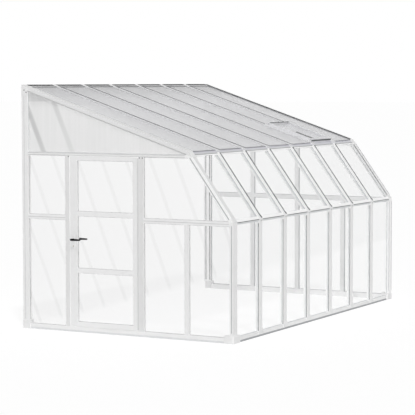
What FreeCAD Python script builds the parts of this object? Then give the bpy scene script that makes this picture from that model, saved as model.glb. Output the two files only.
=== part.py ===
import FreeCAD, Part
import math
import os

# A lean-to sunroom that stands against a house wall: a frame of white hollow profiles with glazing
# grooves, clear panes, twin-wall roof and gables, a door in the left end and a vent in the roof.
# Millimetres. +X runs along the front wall, +Y towards the house and +Z up. The origin is the
# middle of the footprint's box, on the floor.

# The frame's outer faces
frame_length = 4250.0
frame_depth = 2590.0
ridge_height = 2660.0
knee_height = 1253.0
eave_height = 1974.0
eave_inset = 527.0
front_bays = 7

# Profiles
edge_line = 30.0
corner_width = 90.0
corner_depth = 42.0
wall_depth = 46.0
mullion_width = 72.0
end_mullion_width = 50.0
post_width = 75.0
post_depth = 60.0
rafter_depth = 46.0
roof_bar_depth = 58.0
bar_proud = 6.0
skin = 2.0

# Glazing, and the grooves that hold it
pane_thickness = 4.0
panel_thickness = 6.0
glass_set = 23.0
glass_fit = 0.3
pane_reach = 10.0
pane_bite = 9.0
panel_reach = 14.0
panel_bite = 12.0

# Sills, their fixing flange, and the moulded shoes at the corners
sill_height = 58.0
drip_height = 22.0
plinth_set = 8.0
flange_width = 30.0
flange_thickness = 3.0
anchor_radius = 4.5
front_anchor_spacing = 3000.0
side_anchor_spacing = 2000.0
post_anchor_spacing = 1500.0
post_anchor_middle = 1100.0
ridge_anchor_spacing = 3600.0
shoe_proud = 8.0
shoe_arm = 110.0
shoe_front_arm = 150.0
shoe_depth = 60.0
shoe_height = 80.0
shoe_round = 16.0
shoe_chamfer = 8.0
rear_shoe_arm = 92.0
rear_shoe_height = 95.0
foot_width = 104.0
foot_rise = 34.0
foot_proud = 6.0
foot_chamfer = 3.0

# Shadow lines in the outer faces
post_line_at = 27.0
post_line_width = 4.0
post_line_depth = 4.0
rafter_step_at = 31.0
rafter_step = 4.0

# Knee rail, eave gutter and ridge beam
knee_leg = 30.0
knee_nose = 5.0
knee_cover = 3.0
gutter_leg = 46.0
gutter_lip = 3.0
gutter_lip_drop = 20.0
gutter_floor_drop = 35.0
gutter_ledge = 20.0
gutter_back = 40.0
cap_overhang = 40.0
panel_drip = 2.0
beam_depth = 60.0
beam_height = 210.0
beam_groove = 20.0
beam_bite = 18.0
ridge_cap_thickness = 4.0
ridge_cap_height = 118.0
ridge_cap_round = 22.0
nose_cap = 3.0
gasket_width = 8.0
gasket_low = 1.0
closure_thickness = 2.0

# End walls: distances along the wall are counted from the house
top_rail_drop = 74.0
top_rail_height = 30.0
mid_rail_drop = 46.0
mid_rail_height = 50.0
latch_jamb_at = 555.0
jamb_width = 52.0
hinge_jamb_width = 58.0
lower_mullion_at = 2017.0
right_bays = 4

# Door leaf
door_clear = 4.0
leaf_set = 3.0
leaf_depth = 40.0
leaf_width = 836.0
latch_stile_width = 90.0
hinge_stile_width = 50.0
door_top_rail = 45.0
door_bottom_rail = 50.0
upper_rail_low = 1254.0
upper_rail_height = 50.0
lower_rail_low = 642.0
lower_rail_height = 50.0

# Door hinge: a round bead on the leaf that turns in a rolled socket on the jamb
hinge_gap = 20.0
bead_radius = 7.0
hinge_fit = 0.1
socket_wall = 2.5
web_thickness = 4.0
socket_base = 14.0
socket_floor = 3.0
hinge_trim = 8.0
socket_open_from = 25.0
socket_open_to = -125.0

# Lock and lever handles
handle_height = 1000.0
backset = 45.0
spindle_side = 8.0
spindle_tail = 26.0
lock_window = 24.0
follower_radius = 7.0
lever_length = 108.0
lever_standoff = 44.0
lever_thickness = 12.0
lever_hub_radius = 10.0
lever_root_radius = 12.0
lever_tip_radius = 8.0
lever_edge = 2.0
plate_width = 40.0
plate_thickness = 6.0
plate_above = 38.0
plate_below = 32.0
plate_chamfer = 2.0
running_fit = 0.1
lock_fit = 0.3
overcut = 1.0
touch = 0.01
key_drop = 72.0
key_cylinder_radius = 8.5
key_plug_radius = 5.5
key_proud = 7.0
key_slot_width = 1.6
key_slot_height = 7.0
case_width = 60.0
case_thickness = 16.0
case_above = 45.0
case_below = 95.0
forend_thickness = 3.0
forend_width = 22.0
forend_margin = 20.0
bolt_thickness = 12.0
latch_rise = 26.0
latch_height = 16.0
latch_throw = 11.0
latch_tail = 30.0
dead_bolt_height = 22.0
dead_bolt_length = 34.0
dead_bolt_throw = 14.0
strike_thickness = 2.0
strike_width = 24.0
strike_fit = 0.8

# Roof vent in the sixth bay, hung at its upper edge, with a stay that folds under it
vent_bay = 5
vent_foot = 12.0
vent_length = 610.0
vent_thickness = 30.0
vent_rail = 30.0
vent_lift = 0.5
vent_lap = 17.0
curb_side = 18.0
curb_depth = 30.0
curb_header = 30.0
curb_sill_from = 16.0
curb_sill = 28.0
curb_drop = 1.0
header_lap = 12.0
vent_axis_out = 10.0
vent_axis_up = 10.0
vent_rod_radius = 4.0
vent_ear_radius = 9.0
vent_ear_width = 6.0
vent_ear_gap = 1.0
vent_ear_spacing = 210.0
vent_rod_inset = 30.0
stay_pivot_up = 58.0
stay_pivot_under = 6.0
stay_length = 293.5
stay_width = 14.0
stay_thickness = 8.0
stay_pin_radius = 3.0
stay_hole_spacing = 80.0
stay_holes = 3
stay_grip_radius = 6.0
stay_grip_length = 26.0
cheek_thickness = 4.0
cheek_gap = 1.0
cheek_length = 24.0
cheek_top = 11.0
cheek_under = 8.0
cheek_step = 8.0
peg_up = 76.0
peg_under = 6.0
peg_radius = 2.6
peg_clear = 0.5
peg_length = 8.0
peg_block = 12.0
peg_block_length = 38.0

V = FreeCAD.Vector
UP = V(0, 0, 1)
RIGHT = V(1, 0, 0)
LEFT = V(-1, 0, 0)
BACK = V(0, 1, 0)
FRONT = V(0, -1, 0)

# Where the outer faces stand: the lever and the shoes reach furthest, and the box is centred on them
handle_reach = lever_standoff + lever_thickness - leaf_set
x_left = (handle_reach - shoe_proud - frame_length) / 2
x_right = x_left + frame_length
y_front = (shoe_proud - frame_depth) / 2
y_house = y_front + frame_depth
bay_pitch = (frame_length - 2 * edge_line) / front_bays
pane_gap = pane_thickness + 2 * glass_fit
panel_gap = panel_thickness + 2 * glass_fit
groove_low = glass_set - pane_gap / 2
groove_high = glass_set + pane_gap / 2

# The bends of the end frame, and the directions up the slanted front and the roof
knee = V(0, y_front, knee_height)
eave = V(0, y_front + eave_inset, eave_height)
ridge = V(0, y_house, ridge_height)
slope_length = (eave - knee).Length
roof_length = (ridge - eave).Length
slope_up = (eave - knee).normalize()
slope_out = V(0, -slope_up.z, slope_up.y)
roof_up = (ridge - eave).normalize()
roof_out = V(0, -roof_up.z, roof_up.y)
panel_top = bar_proud + glass_fit
panel_under = panel_top + panel_thickness
end_sides = (("left", x_left, RIGHT), ("right", x_right, LEFT))


def bar_x(index):
    """Middle of a front bar; 0 and front_bays are lines within the corner posts."""
    return x_left + edge_line + index * bay_pitch


def half_width(index):
    """From a bar's line to its edge at the bay."""
    return corner_width - edge_line if index in (0, front_bays) else mullion_width / 2


def on_wall(inward, height):
    return V(0, y_front + inward, height)


def on_slope(along, out, x=0.0):
    return knee + slope_up * along + slope_out * out + RIGHT * x


def on_roof(along, out, x=0.0):
    return eave + roof_up * along + roof_out * out + RIGHT * x


def roof_along(y, out):
    """Distance up the roof of the point at that y, out from the roof line."""
    return (y - eave.y + out * roof_up.z) / roof_up.y


def roof_drop(y, below):
    """Point at that y, below the roof line by that much, square to the roof."""
    return on_roof(roof_along(y, -below), -below)


def meet(point, direction, other, other_direction):
    """Crossing of two lines in the plane of an end wall."""
    normal = V(0, -other_direction.z, other_direction.y)
    return point + direction * ((other - point).dot(normal) / direction.dot(normal))


def ring(points):
    return Part.makePolygon(list(points) + [points[0]])


def rectangle(low_a, low_d, high_a, high_d):
    return [(low_a, low_d), (high_a, low_d), (high_a, high_d), (low_a, high_d)]


def bar(section, start, across, inward, run):
    """Extrude a section along run; its loops hold (across, inward) points, the outer one first."""
    wires = [ring([start + across * a + inward * d for a, d in outline]) for outline in section]
    return Part.makeFace(wires, "Part::FaceMakerBullseye").extrude(run)


def run_along(outlines, x_from, x_to):
    """Extrude outlines in the plane of an end wall along X."""
    wires = [ring([V(x_from, p.y, p.z) for p in outline]) for outline in outlines]
    return Part.makeFace(wires, "Part::FaceMakerBullseye").extrude(RIGHT * (x_to - x_from))


def block(one, other):
    low = V(min(one.x, other.x), min(one.y, other.y), min(one.z, other.z))
    size = V(abs(one.x - other.x), abs(one.y - other.y), abs(one.z - other.z))
    return Part.makeBox(size.x, size.y, size.z, low)


def rod(radius, start, run):
    return Part.makeCylinder(radius, run.Length, start, run)


def trim(shape, point, normal):
    """Cut away what lies beyond the plane through point, on the side that normal points to."""
    reach = 2 * shape.BoundBox.DiagonalLength
    cutter = Part.makeBox(2 * reach, 2 * reach, reach, V(-reach, -reach, 0))
    middle = shape.BoundBox.Center
    foot = middle - normal * ((middle - point).dot(normal) / normal.dot(normal))
    cutter.Placement = FreeCAD.Placement(foot, FreeCAD.Rotation(UP, normal))
    return shape.cut(cutter)


def two_groove_section(width, depth, seat, gap, reach):
    """Hollow glazing bar with a groove in each side, centred on its width."""
    half = width / 2
    floor = half - reach
    low = seat - gap / 2
    high = seat + gap / 2
    outer = [(-half, 0), (half, 0), (half, low), (floor, low), (floor, high), (half, high),
             (half, depth), (-half, depth), (-half, high), (-floor, high), (-floor, low), (-half, low)]
    return [outer, rectangle(skin - floor, skin, floor - skin, depth - skin)]


def one_groove_section(width, depth, seat, gap, reach):
    """Hollow edge bar: plain at its outer edge, with a groove in the edge at width."""
    floor = width - reach
    low = seat - gap / 2
    high = seat + gap / 2
    outer = [(0, 0), (width, 0), (width, low), (floor, low), (floor, high), (width, high),
             (width, depth), (0, depth)]
    return [outer, rectangle(skin, skin, floor - skin, depth - skin)]


def sill_section():
    """Sill seen from its end, height first: a drip edge over a set-back plinth, and a floor flange."""
    floor = sill_height - pane_reach
    toe = wall_depth + flange_width
    outer = [(0, plinth_set), (0, toe), (flange_thickness, toe), (flange_thickness, wall_depth),
             (sill_height, wall_depth), (sill_height, groove_high), (floor, groove_high),
             (floor, groove_low), (sill_height, groove_low), (sill_height, 0),
             (drip_height, 0), (drip_height, plinth_set)]
    return [outer, rectangle(skin, plinth_set + skin, floor - skin, wall_depth - skin)]


def wall_post_section():
    """Post against the house: a shadow line in its outer face, and a flange that lies on the wall."""
    floor = post_width - pane_reach
    line_end = post_line_at + post_line_width
    toe = post_depth + flange_width
    outer = [(0, 0), (post_line_at, 0), (post_line_at, post_line_depth), (line_end, post_line_depth),
             (line_end, 0), (post_width, 0), (post_width, groove_low), (floor, groove_low),
             (floor, groove_high), (post_width, groove_high), (post_width, post_depth),
             (flange_thickness, post_depth), (flange_thickness, toe), (0, toe)]
    core = rectangle(flange_thickness + skin, post_line_depth + skin, floor - skin, post_depth - skin)
    return [outer, core]


def corner_section():
    """Flat post, wide along the front, with a groove for the front's panes and one for the end's."""
    floor = corner_width - pane_reach
    end_floor = corner_depth - pane_reach
    outer = [(0, 0), (corner_width, 0), (corner_width, groove_low), (floor, groove_low),
             (floor, groove_high), (corner_width, groove_high), (corner_width, corner_depth),
             (groove_high, corner_depth), (groove_high, end_floor), (groove_low, end_floor),
             (groove_low, corner_depth), (0, corner_depth)]
    return [outer, rectangle(skin, skin, floor - skin, end_floor - skin)]


def end_rafter_section():
    """End rafter: a stepped outer face, a groove for the roof panel and one below for the gable."""
    panel_floor = corner_width - panel_reach
    gable_floor = rafter_depth - pane_reach
    low = bar_proud
    high = bar_proud + panel_gap
    outer = [(0, 0), (corner_width, 0), (corner_width, low), (panel_floor, low), (panel_floor, high),
             (corner_width, high), (corner_width, rafter_depth), (groove_high, rafter_depth),
             (groove_high, gable_floor), (groove_low, gable_floor), (groove_low, rafter_depth),
             (rafter_step, rafter_depth), (rafter_step, rafter_step_at), (0, rafter_step_at)]
    core = rectangle(rafter_step + skin, skin, panel_floor - skin, gable_floor - skin)
    return [outer, core]


mullion_section = two_groove_section(mullion_width, wall_depth, glass_set, pane_gap, pane_reach)
end_mullion_section = two_groove_section(end_mullion_width, wall_depth, glass_set, pane_gap, pane_reach)
parts = {}

# Sills between the shoes, with anchor holes in the floor flange
flange_middle = wall_depth + flange_width / 2
sill_from = x_left + shoe_front_arm
sill_to = x_right - shoe_front_arm
front_sill = bar(sill_section(), V(sill_from, y_front, 0), UP, BACK, RIGHT * (sill_to - sill_from))
for side in (-1, 1):
    anchor = V((x_left + x_right + side * front_anchor_spacing) / 2, y_front + flange_middle, 0)
    front_sill = front_sill.cut(rod(anchor_radius, anchor, UP * flange_thickness))
parts["front_sill"] = [front_sill]
parts["side_sills"] = []
for name, face, into in end_sides:
    sill_run = frame_depth - shoe_arm - rear_shoe_arm
    start = V(face, y_house - rear_shoe_arm, 0)
    sill = bar(sill_section(), start, UP, into, FRONT * sill_run)
    for side in (-1, 1):
        anchor = V(face, (y_front + y_house + side * side_anchor_spacing) / 2, 0) + into * flange_middle
        sill = sill.cut(rod(anchor_radius, anchor, UP * flange_thickness))
    parts["side_sills"].append(sill)


# Moulded shoes: an angle at each front corner and a block at each house corner
def round_and_chamfer(shape, outer_x, outer_y, top):
    """Round the outer corner, then chamfer the outer faces at their top and at the ends of the arms."""
    upright = [e for e in shape.Edges
               if all(abs(v.X - outer_x) < touch and abs(v.Y - outer_y) < touch for v in e.Vertexes)]
    shape = shape.makeFillet(shoe_round, upright)

    def chamfered(edge):
        on_x = all(abs(v.X - outer_x) < shoe_round + touch for v in edge.Vertexes)
        on_y = all(abs(v.Y - outer_y) < shoe_round + touch for v in edge.Vertexes)
        at_top = all(abs(v.Z - top) < touch for v in edge.Vertexes)
        upright = edge.BoundBox.ZLength > top - touch
        return (on_x or on_y) and at_top or on_x != on_y and upright

    edges = [e for e in shape.Edges if chamfered(e)]
    return shape.makeChamfer(shoe_chamfer, edges)


parts["front_shoes"] = []
parts["rear_shoes"] = []
pane_floor = sill_height - pane_reach
for name, face, into in end_sides:
    angle = [(-shoe_proud, -shoe_proud), (shoe_front_arm, -shoe_proud), (shoe_front_arm, shoe_depth),
             (shoe_depth, shoe_depth), (shoe_depth, shoe_arm), (-shoe_proud, shoe_arm)]
    shoe = bar([angle], V(face, y_front, 0), into, BACK, UP * shoe_height)
    shoe = round_and_chamfer(shoe, face - into.x * shoe_proud, y_front - shoe_proud, shoe_height)
    slot_start = V(face, y_front, pane_floor)
    front_slot = [rectangle(corner_width - pane_reach, groove_low, shoe_front_arm, groove_high)]
    end_slot = [rectangle(groove_low, corner_depth - pane_reach, groove_high, shoe_arm)]
    for slot in (front_slot, end_slot):
        shoe = shoe.cut(bar(slot, slot_start, into, BACK, UP * shoe_height))
    parts["front_shoes"].append(shoe)
    rear = bar([rectangle(0, -shoe_proud, rear_shoe_arm, post_depth)], V(face, y_house, 0),
               FRONT, into, UP * rear_shoe_height)
    rim = [e for e in rear.Edges
           if all(abs(v.Z - rear_shoe_height) < touch for v in e.Vertexes)
           and all(abs(v.X - face + into.x * shoe_proud) < touch for v in e.Vertexes)]
    rear = rear.makeChamfer(shoe_chamfer, rim)
    rear_slot = [rectangle(post_width - pane_reach, groove_low, rear_shoe_arm, groove_high)]
    slot_start = V(face, y_house, pane_floor)
    parts["rear_shoes"].append(rear.cut(bar(rear_slot, slot_start, FRONT, into, UP * rear_shoe_height)))

# Uprights of the two end frames, mitred at the knee, and the rafters that lie on them
knee_mitre = UP + slope_up
under_rafter = on_roof(0, -rafter_depth)
beam_bottom = ridge_height - beam_height
beam_foot = beam_bottom - flange_width
nose_low = meet(eave, slope_up, under_rafter, roof_up)
parts["rafter_nose_caps"] = []
parts["ridge_end_caps"] = []
for name, face, into in end_sides:
    post = bar(wall_post_section(), V(face, y_house, rear_shoe_height), FRONT, into,
               UP * (ridge_height - rear_shoe_height))
    post = trim(post, under_rafter, roof_out)
    flange_from = V(face, y_house, beam_foot) + into * post_depth
    flange_to = V(face, y_house - flange_thickness, ridge_height) + into * (post_depth + flange_width)
    post = post.cut(block(flange_from, flange_to))
    for side in (-1, 1):
        height = post_anchor_middle + side * post_anchor_spacing / 2
        anchor = V(face, y_house, height) + into * (post_depth + flange_width / 2)
        post = post.cut(rod(anchor_radius, anchor, FRONT * flange_thickness))
    parts[name + "_wall_post"] = [post]
    corner_post = bar(corner_section(), V(face, y_front, shoe_height), into, BACK,
                      UP * (knee_height + corner_depth - shoe_height))
    parts[name + "_corner_post"] = [trim(corner_post, knee, knee_mitre)]
    rail = bar(corner_section(), on_slope(-corner_depth, 0, face), into, slope_out * -1,
               slope_up * (slope_length + 2 * corner_depth))
    rail = trim(rail, knee, knee_mitre * -1)
    parts[name + "_slope_rail"] = [trim(rail, under_rafter, roof_out)]
    rafter = bar(end_rafter_section(), on_roof(-2 * rafter_depth, 0, face), into, roof_out * -1,
                 roof_up * (roof_length + 4 * rafter_depth))
    rafter = trim(rafter, eave, slope_out)
    pane_slot = [rectangle(corner_width - pane_reach, groove_low, corner_width, groove_high)]
    slot_run = slope_up * (slope_length - gutter_leg + pane_reach)
    rafter = rafter.cut(bar(pane_slot, on_slope(0, 0, face), into, slope_out * -1, slot_run))
    parts[name + "_end_rafter"] = [trim(rafter, ridge, BACK)]
    nose_outline = [eave, eave + slope_out * nose_cap, nose_low + slope_out * nose_cap, nose_low]
    parts["rafter_nose_caps"].append(run_along([nose_outline], face, face + into.x * corner_width))
    cap_front = y_house - post_width
    cap_low = ridge_height - ridge_cap_height
    cap_outline = [V(0, y_house, cap_low), V(0, cap_front, cap_low), roof_drop(cap_front, 0), ridge]
    cap = run_along([cap_outline], 0, ridge_cap_thickness)
    cap_corner = [e for e in cap.Edges
                  if all((V(0, v.Y, v.Z) - ridge).Length < touch for v in e.Vertexes)]
    cap = cap.makeFillet(ridge_cap_round, cap_corner)
    cap.translate(RIGHT * (face if into.x < 0 else face - ridge_cap_thickness))
    parts["ridge_end_caps"].append(cap)

# Front mullions stand on the sill, under the knee rail
parts["front_mullions"] = []
for index in range(1, front_bays):
    start = V(bar_x(index), y_front, sill_height)
    run = UP * (knee_height - knee_leg - sill_height)
    parts["front_mullions"].append(bar(mullion_section, start, RIGHT, BACK, run))

# Moulded feet, flared over the joint between each mullion and the sill
half_foot = foot_width / 2
half_mullion = mullion_width / 2
foot_top = sill_height + foot_rise
foot_outline = [(drip_height, -half_foot), (sill_height, -half_foot), (foot_top, -half_mullion),
                (foot_top, half_mullion), (sill_height, half_foot), (drip_height, half_foot)]
parts["mullion_feet"] = []
for index in range(1, front_bays):
    foot = bar([foot_outline], V(bar_x(index), y_front, 0), UP, RIGHT, FRONT * foot_proud)
    rim = [e for e in foot.Edges if all(abs(v.Y - y_front + foot_proud) < touch for v in e.Vertexes)]
    parts["mullion_feet"].append(foot.makeChamfer(foot_chamfer, rim))

# Knee rail: a bent section with a drip nose, grooved below for the front panes and above for the slope
long_from = x_left + corner_width
long_to = x_right - corner_width
leg_low = knee_height - knee_leg
leg_floor = leg_low + pane_reach
rail_floor = knee_leg - pane_reach
nose = on_slope(-knee_nose, 0)
inner_bend = meet(on_wall(wall_depth, 0), UP, on_slope(0, -wall_depth), slope_up)
knee_outline = [on_wall(0, leg_low), on_wall(0, nose.z), nose, on_slope(knee_leg, 0),
                on_slope(knee_leg, -groove_low), on_slope(rail_floor, -groove_low),
                on_slope(rail_floor, -groove_high), on_slope(knee_leg, -groove_high),
                on_slope(knee_leg, -wall_depth), inner_bend, on_wall(wall_depth, leg_low),
                on_wall(groove_high, leg_low), on_wall(groove_high, leg_floor),
                on_wall(groove_low, leg_floor), on_wall(groove_low, leg_low)]
parts["knee_rail"] = [run_along([knee_outline], long_from, long_to)]

# Covers over the knee rail that carry the line of each mullion into its slope bar
cover_wall = on_wall(nose.y - y_front - knee_cover, leg_low)
cover_bend = meet(cover_wall, UP, on_slope(0, knee_cover), slope_up)
cover_outline = [on_wall(0, leg_low), cover_wall, cover_bend, on_slope(knee_leg, knee_cover),
                 on_slope(knee_leg, 0), nose, on_wall(0, nose.z)]
parts["knee_covers"] = [run_along([cover_outline], bar_x(index) - half_mullion, bar_x(index) + half_mullion)
                        for index in range(1, front_bays)]

# Slope bars between the knee rail and the gutter
slope_run = slope_length - knee_leg - gutter_leg
parts["slope_bars"] = []
for index in range(1, front_bays):
    start = on_slope(knee_leg, 0, bar_x(index))
    parts["slope_bars"].append(bar(mullion_section, start, RIGHT, slope_out * -1, slope_up * slope_run))


# Eave gutter: a trough along the bend, grooved below for the slope panes, with a ledge for the roof
def at_eave(inward, up):
    return eave + BACK * inward + UP * up


gutter_foot = slope_length - gutter_leg
foot_front = on_slope(gutter_foot, 0)
foot_back = on_slope(gutter_foot, -wall_depth)
lip_front = foot_front.y - eave.y
lip_back = lip_front + gutter_lip
under_panel = bar_proud + panel_gap
ledge_front = roof_drop(eave.y + gutter_ledge, under_panel)
ledge_back = roof_drop(eave.y + gutter_back, under_panel)
gutter_outline = [foot_front, on_slope(gutter_foot, -groove_low),
                  on_slope(gutter_foot + pane_reach, -groove_low),
                  on_slope(gutter_foot + pane_reach, -groove_high), on_slope(gutter_foot, -groove_high),
                  foot_back, V(0, eave.y + gutter_back, foot_back.z), ledge_back, ledge_front,
                  at_eave(gutter_ledge, -gutter_floor_drop), at_eave(lip_back, -gutter_floor_drop),
                  at_eave(lip_back, -gutter_lip_drop), at_eave(lip_front, -gutter_lip_drop)]
core_front = foot_back.y + 2 * skin
core_back = eave.y + gutter_back - skin
core_low = foot_back.z + skin
core_step = eave.z - gutter_floor_drop - skin
core_ledge = eave.y + gutter_ledge + skin
gutter_core = [V(0, core_front, core_low), V(0, core_back, core_low),
               V(0, core_back, ledge_front.z - skin), V(0, core_ledge, ledge_front.z - skin),
               V(0, core_ledge, core_step), V(0, core_front, core_step)]
parts["eave_gutter"] = [run_along([gutter_outline, gutter_core], long_from, long_to)]

# Ridge beam against the house: the roof panels end in its groove, and its flange takes wall screws
beam_front = y_house - beam_depth
beam_inner = beam_front + beam_groove
flange_front = y_house - flange_thickness
beam_outline = [V(0, y_house, beam_foot), V(0, flange_front, beam_foot),
                V(0, flange_front, beam_bottom), V(0, beam_front, beam_bottom),
                roof_drop(beam_front, under_panel), roof_drop(beam_inner, under_panel),
                roof_drop(beam_inner, bar_proud), roof_drop(beam_front, bar_proud),
                roof_drop(beam_front, 0), ridge]
beam_core_top = roof_drop(beam_front, under_panel).z - skin
beam_core = [V(0, beam_front + skin, beam_bottom + skin), V(0, y_house - skin, beam_bottom + skin),
             V(0, y_house - skin, beam_core_top), V(0, beam_front + skin, beam_core_top)]
beam = run_along([beam_outline, beam_core], x_left + post_depth, x_right - post_depth)
rafter_end = [roof_drop(beam_front, rafter_depth), roof_drop(y_house, rafter_depth), ridge,
              roof_drop(beam_front, 0)]
for name, face, into in end_sides:
    beam = beam.cut(run_along([rafter_end], face + into.x * post_depth, face + into.x * corner_width))
for side in (-1, 1):
    anchor_x = (x_left + x_right + side * ridge_anchor_spacing) / 2
    anchor = V(anchor_x, y_house, beam_bottom - flange_width / 2)
    beam = beam.cut(rod(anchor_radius, anchor, FRONT * flange_thickness))
parts["ridge_beam"] = [beam]

# Roof bars: the stem ends at the gutter's back, and the cap runs on over the trough
roof_bar_section = two_groove_section(mullion_width, roof_bar_depth, bar_proud + panel_gap / 2,
                                      panel_gap, panel_reach)
stem_top = roof_drop(eave.y + gutter_back, bar_proud)
stem_cut = [stem_top, stem_top - UP * 2 * roof_bar_depth,
            on_roof(-2 * roof_bar_depth, -3 * roof_bar_depth), on_roof(-2 * roof_bar_depth, -bar_proud)]
parts["roof_bars"] = []
for index in range(1, front_bays):
    x = bar_x(index)
    roof_bar = bar(roof_bar_section, on_roof(-cap_overhang, 0, x), RIGHT, roof_out * -1,
                   roof_up * (roof_length + cap_overhang))
    roof_bar = roof_bar.cut(run_along([stem_cut], x - mullion_width, x + mullion_width))
    parts["roof_bars"].append(trim(roof_bar, V(0, beam_front, 0), BACK))

# Panes of the front, the slope and the roof, let into the grooves on every side
vent_top = vent_foot + vent_length
header_low = vent_top - header_lap
header_high = header_low + curb_header
panel_end = roof_along(beam_front + beam_bite, -panel_under)
drip_end = roof_along(eave.y + panel_drip, -panel_under)
parts["front_panes"] = []
parts["slope_panes"] = []
parts["roof_panels"] = []
for bay in range(front_bays):
    x_from = bar_x(bay) + half_width(bay) - pane_bite
    x_to = bar_x(bay + 1) - half_width(bay + 1) + pane_bite
    near = V(x_from, y_front + glass_set - pane_thickness / 2, pane_floor)
    far = V(x_to, y_front + glass_set + pane_thickness / 2, leg_low + pane_bite)
    parts["front_panes"].append(block(near, far))
    pane_section = [rectangle(0, 0, x_to - x_from, pane_thickness)]
    start = on_slope(rail_floor, pane_thickness / 2 - glass_set, x_from)
    pane_run = slope_up * (gutter_foot + pane_bite - rail_floor)
    parts["slope_panes"].append(bar(pane_section, start, RIGHT, slope_out * -1, pane_run))
    x_from = bar_x(bay) + half_width(bay) - panel_bite
    x_to = bar_x(bay + 1) - half_width(bay + 1) + panel_bite
    panel_section = [rectangle(0, 0, x_to - x_from, panel_thickness)]
    panel_from = header_high - panel_bite if bay == vent_bay else drip_end
    start = on_roof(panel_from, -panel_top, x_from)
    panel_run = roof_up * (panel_end - panel_from)
    parts["roof_panels"].append(bar(panel_section, start, RIGHT, roof_out * -1, panel_run))

# Dark seals on the roof: along the ridge, down the end rafters, and over the panels' lower ends
parts["roof_gaskets"] = []
seal_front = beam_front - gasket_width
ridge_seal = [roof_drop(beam_front, panel_top), roof_drop(beam_front, gasket_low),
              roof_drop(seal_front, gasket_low), roof_drop(seal_front, panel_top)]
for bay in range(front_bays):
    x_from = bar_x(bay) + half_width(bay)
    x_to = bar_x(bay + 1) - half_width(bay + 1)
    parts["roof_gaskets"].append(run_along([ridge_seal], x_from, x_to))
    if bay != vent_bay:
        start = on_roof(drip_end - closure_thickness, -panel_top, x_from)
        closure = [rectangle(0, 0, x_to - x_from, panel_thickness)]
        parts["roof_gaskets"].append(bar(closure, start, RIGHT, roof_out * -1, roof_up * closure_thickness))
for name, face, into in end_sides:
    start = on_roof(drip_end, -gasket_low, face) + into * corner_width
    edge_seal = [rectangle(0, 0, gasket_width, panel_top - gasket_low)]
    seal_end = roof_along(seal_front, -panel_top)
    seal = bar(edge_seal, start, into, roof_out * -1, roof_up * (seal_end - drip_end))
    parts["roof_gaskets"].append(trim(seal, V(0, seal_front, 0), BACK))

# End walls
mid_rail_low = knee_height - mid_rail_drop
mid_rail_high = mid_rail_low + mid_rail_height
top_rail_low = eave_height - top_rail_drop
top_rail_high = top_rail_low + top_rail_height
slope_inner = on_slope(0, -corner_depth)
corner_at = frame_depth - corner_depth
leaf_latch = latch_jamb_at + jamb_width + door_clear
leaf_hinge = leaf_latch + leaf_width
hinge_jamb_at = leaf_hinge + hinge_gap
hinge_jamb_end = hinge_jamb_at + hinge_jamb_width
lower_mullion_end = lower_mullion_at + end_mullion_width
upright_run = UP * (top_rail_low - sill_height)
short_run = UP * (mid_rail_low - sill_height)


def from_house(face, distance, height):
    return V(face, y_house - distance, height)


def wall_rail(face, into, start, end, low, height):
    """Grooved rail across an end wall; one that reaches the slanted front is cut along it."""
    section = two_groove_section(height, wall_depth, glass_set, pane_gap, pane_reach)
    rail = bar(section, from_house(face, start, low + height / 2), UP, into, FRONT * (end - start))
    if end == corner_at:
        rail = trim(trim(rail, slope_inner, slope_out), under_rafter, roof_out)
    return rail


def end_glazing(face, into):
    """One sheet that fills an end frame's grooves all round; the panes are cut from it."""
    post_edge = y_house - post_width + pane_bite
    corner_edge = V(0, y_front + corner_depth - pane_bite, 0)
    slope_edge = on_slope(0, pane_bite - corner_depth)
    rafter_edge = on_roof(0, pane_bite - rafter_depth)
    outline = [V(0, post_edge, pane_floor), V(0, corner_edge.y, pane_floor),
               meet(corner_edge, UP, slope_edge, slope_up), meet(slope_edge, slope_up, rafter_edge, roof_up),
               meet(V(0, post_edge, 0), UP, rafter_edge, roof_up)]
    near = face + into.x * (glass_set - pane_thickness / 2)
    return run_along([outline], near, near + into.x * pane_thickness)


def pane(sheet, face, into, start, end, low, high):
    window = block(from_house(face, start, low), from_house(face, end, high) + into * wall_depth)
    return sheet.common(window).Solids[0]


lower_top = mid_rail_low + pane_bite
upper_low = mid_rail_high - pane_reach
upper_top = top_rail_low + pane_bite
gable_low = top_rail_high - pane_reach
glazing = {name: end_glazing(face, into) for name, face, into in end_sides}
parts["top_rails"] = []
parts["gable_panels"] = []
for name, face, into in end_sides:
    top_rail = wall_rail(face, into, post_width, corner_at, top_rail_low, top_rail_height)
    parts["top_rails"].append(top_rail)
    gable = pane(glazing[name], face, into, 0, frame_depth, gable_low, ridge_height)
    parts["gable_panels"].append(gable)

# Left end: jambs each side of the door, one short mullion, and five panes
one_side = one_groove_section(jamb_width, wall_depth, glass_set, pane_gap, pane_reach)
jamb_foot = from_house(x_left, latch_jamb_at + jamb_width, sill_height)
latch_jamb = bar(one_side, jamb_foot, BACK, RIGHT, upright_run)
one_side = one_groove_section(hinge_jamb_width, wall_depth, glass_set, pane_gap, pane_reach)
jamb_foot = from_house(x_left, hinge_jamb_at, sill_height)
parts["hinge_jamb"] = [bar(one_side, jamb_foot, FRONT, RIGHT, upright_run)]
start = from_house(x_left, lower_mullion_at + end_mullion_width / 2, sill_height)
parts["left_lower_mullion"] = [bar(end_mullion_section, start, FRONT, RIGHT, short_run)]
parts["left_mid_rails"] = [
    wall_rail(x_left, RIGHT, post_width, latch_jamb_at, mid_rail_low, mid_rail_height),
    wall_rail(x_left, RIGHT, hinge_jamb_end, corner_at, mid_rail_low, mid_rail_height)]
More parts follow.
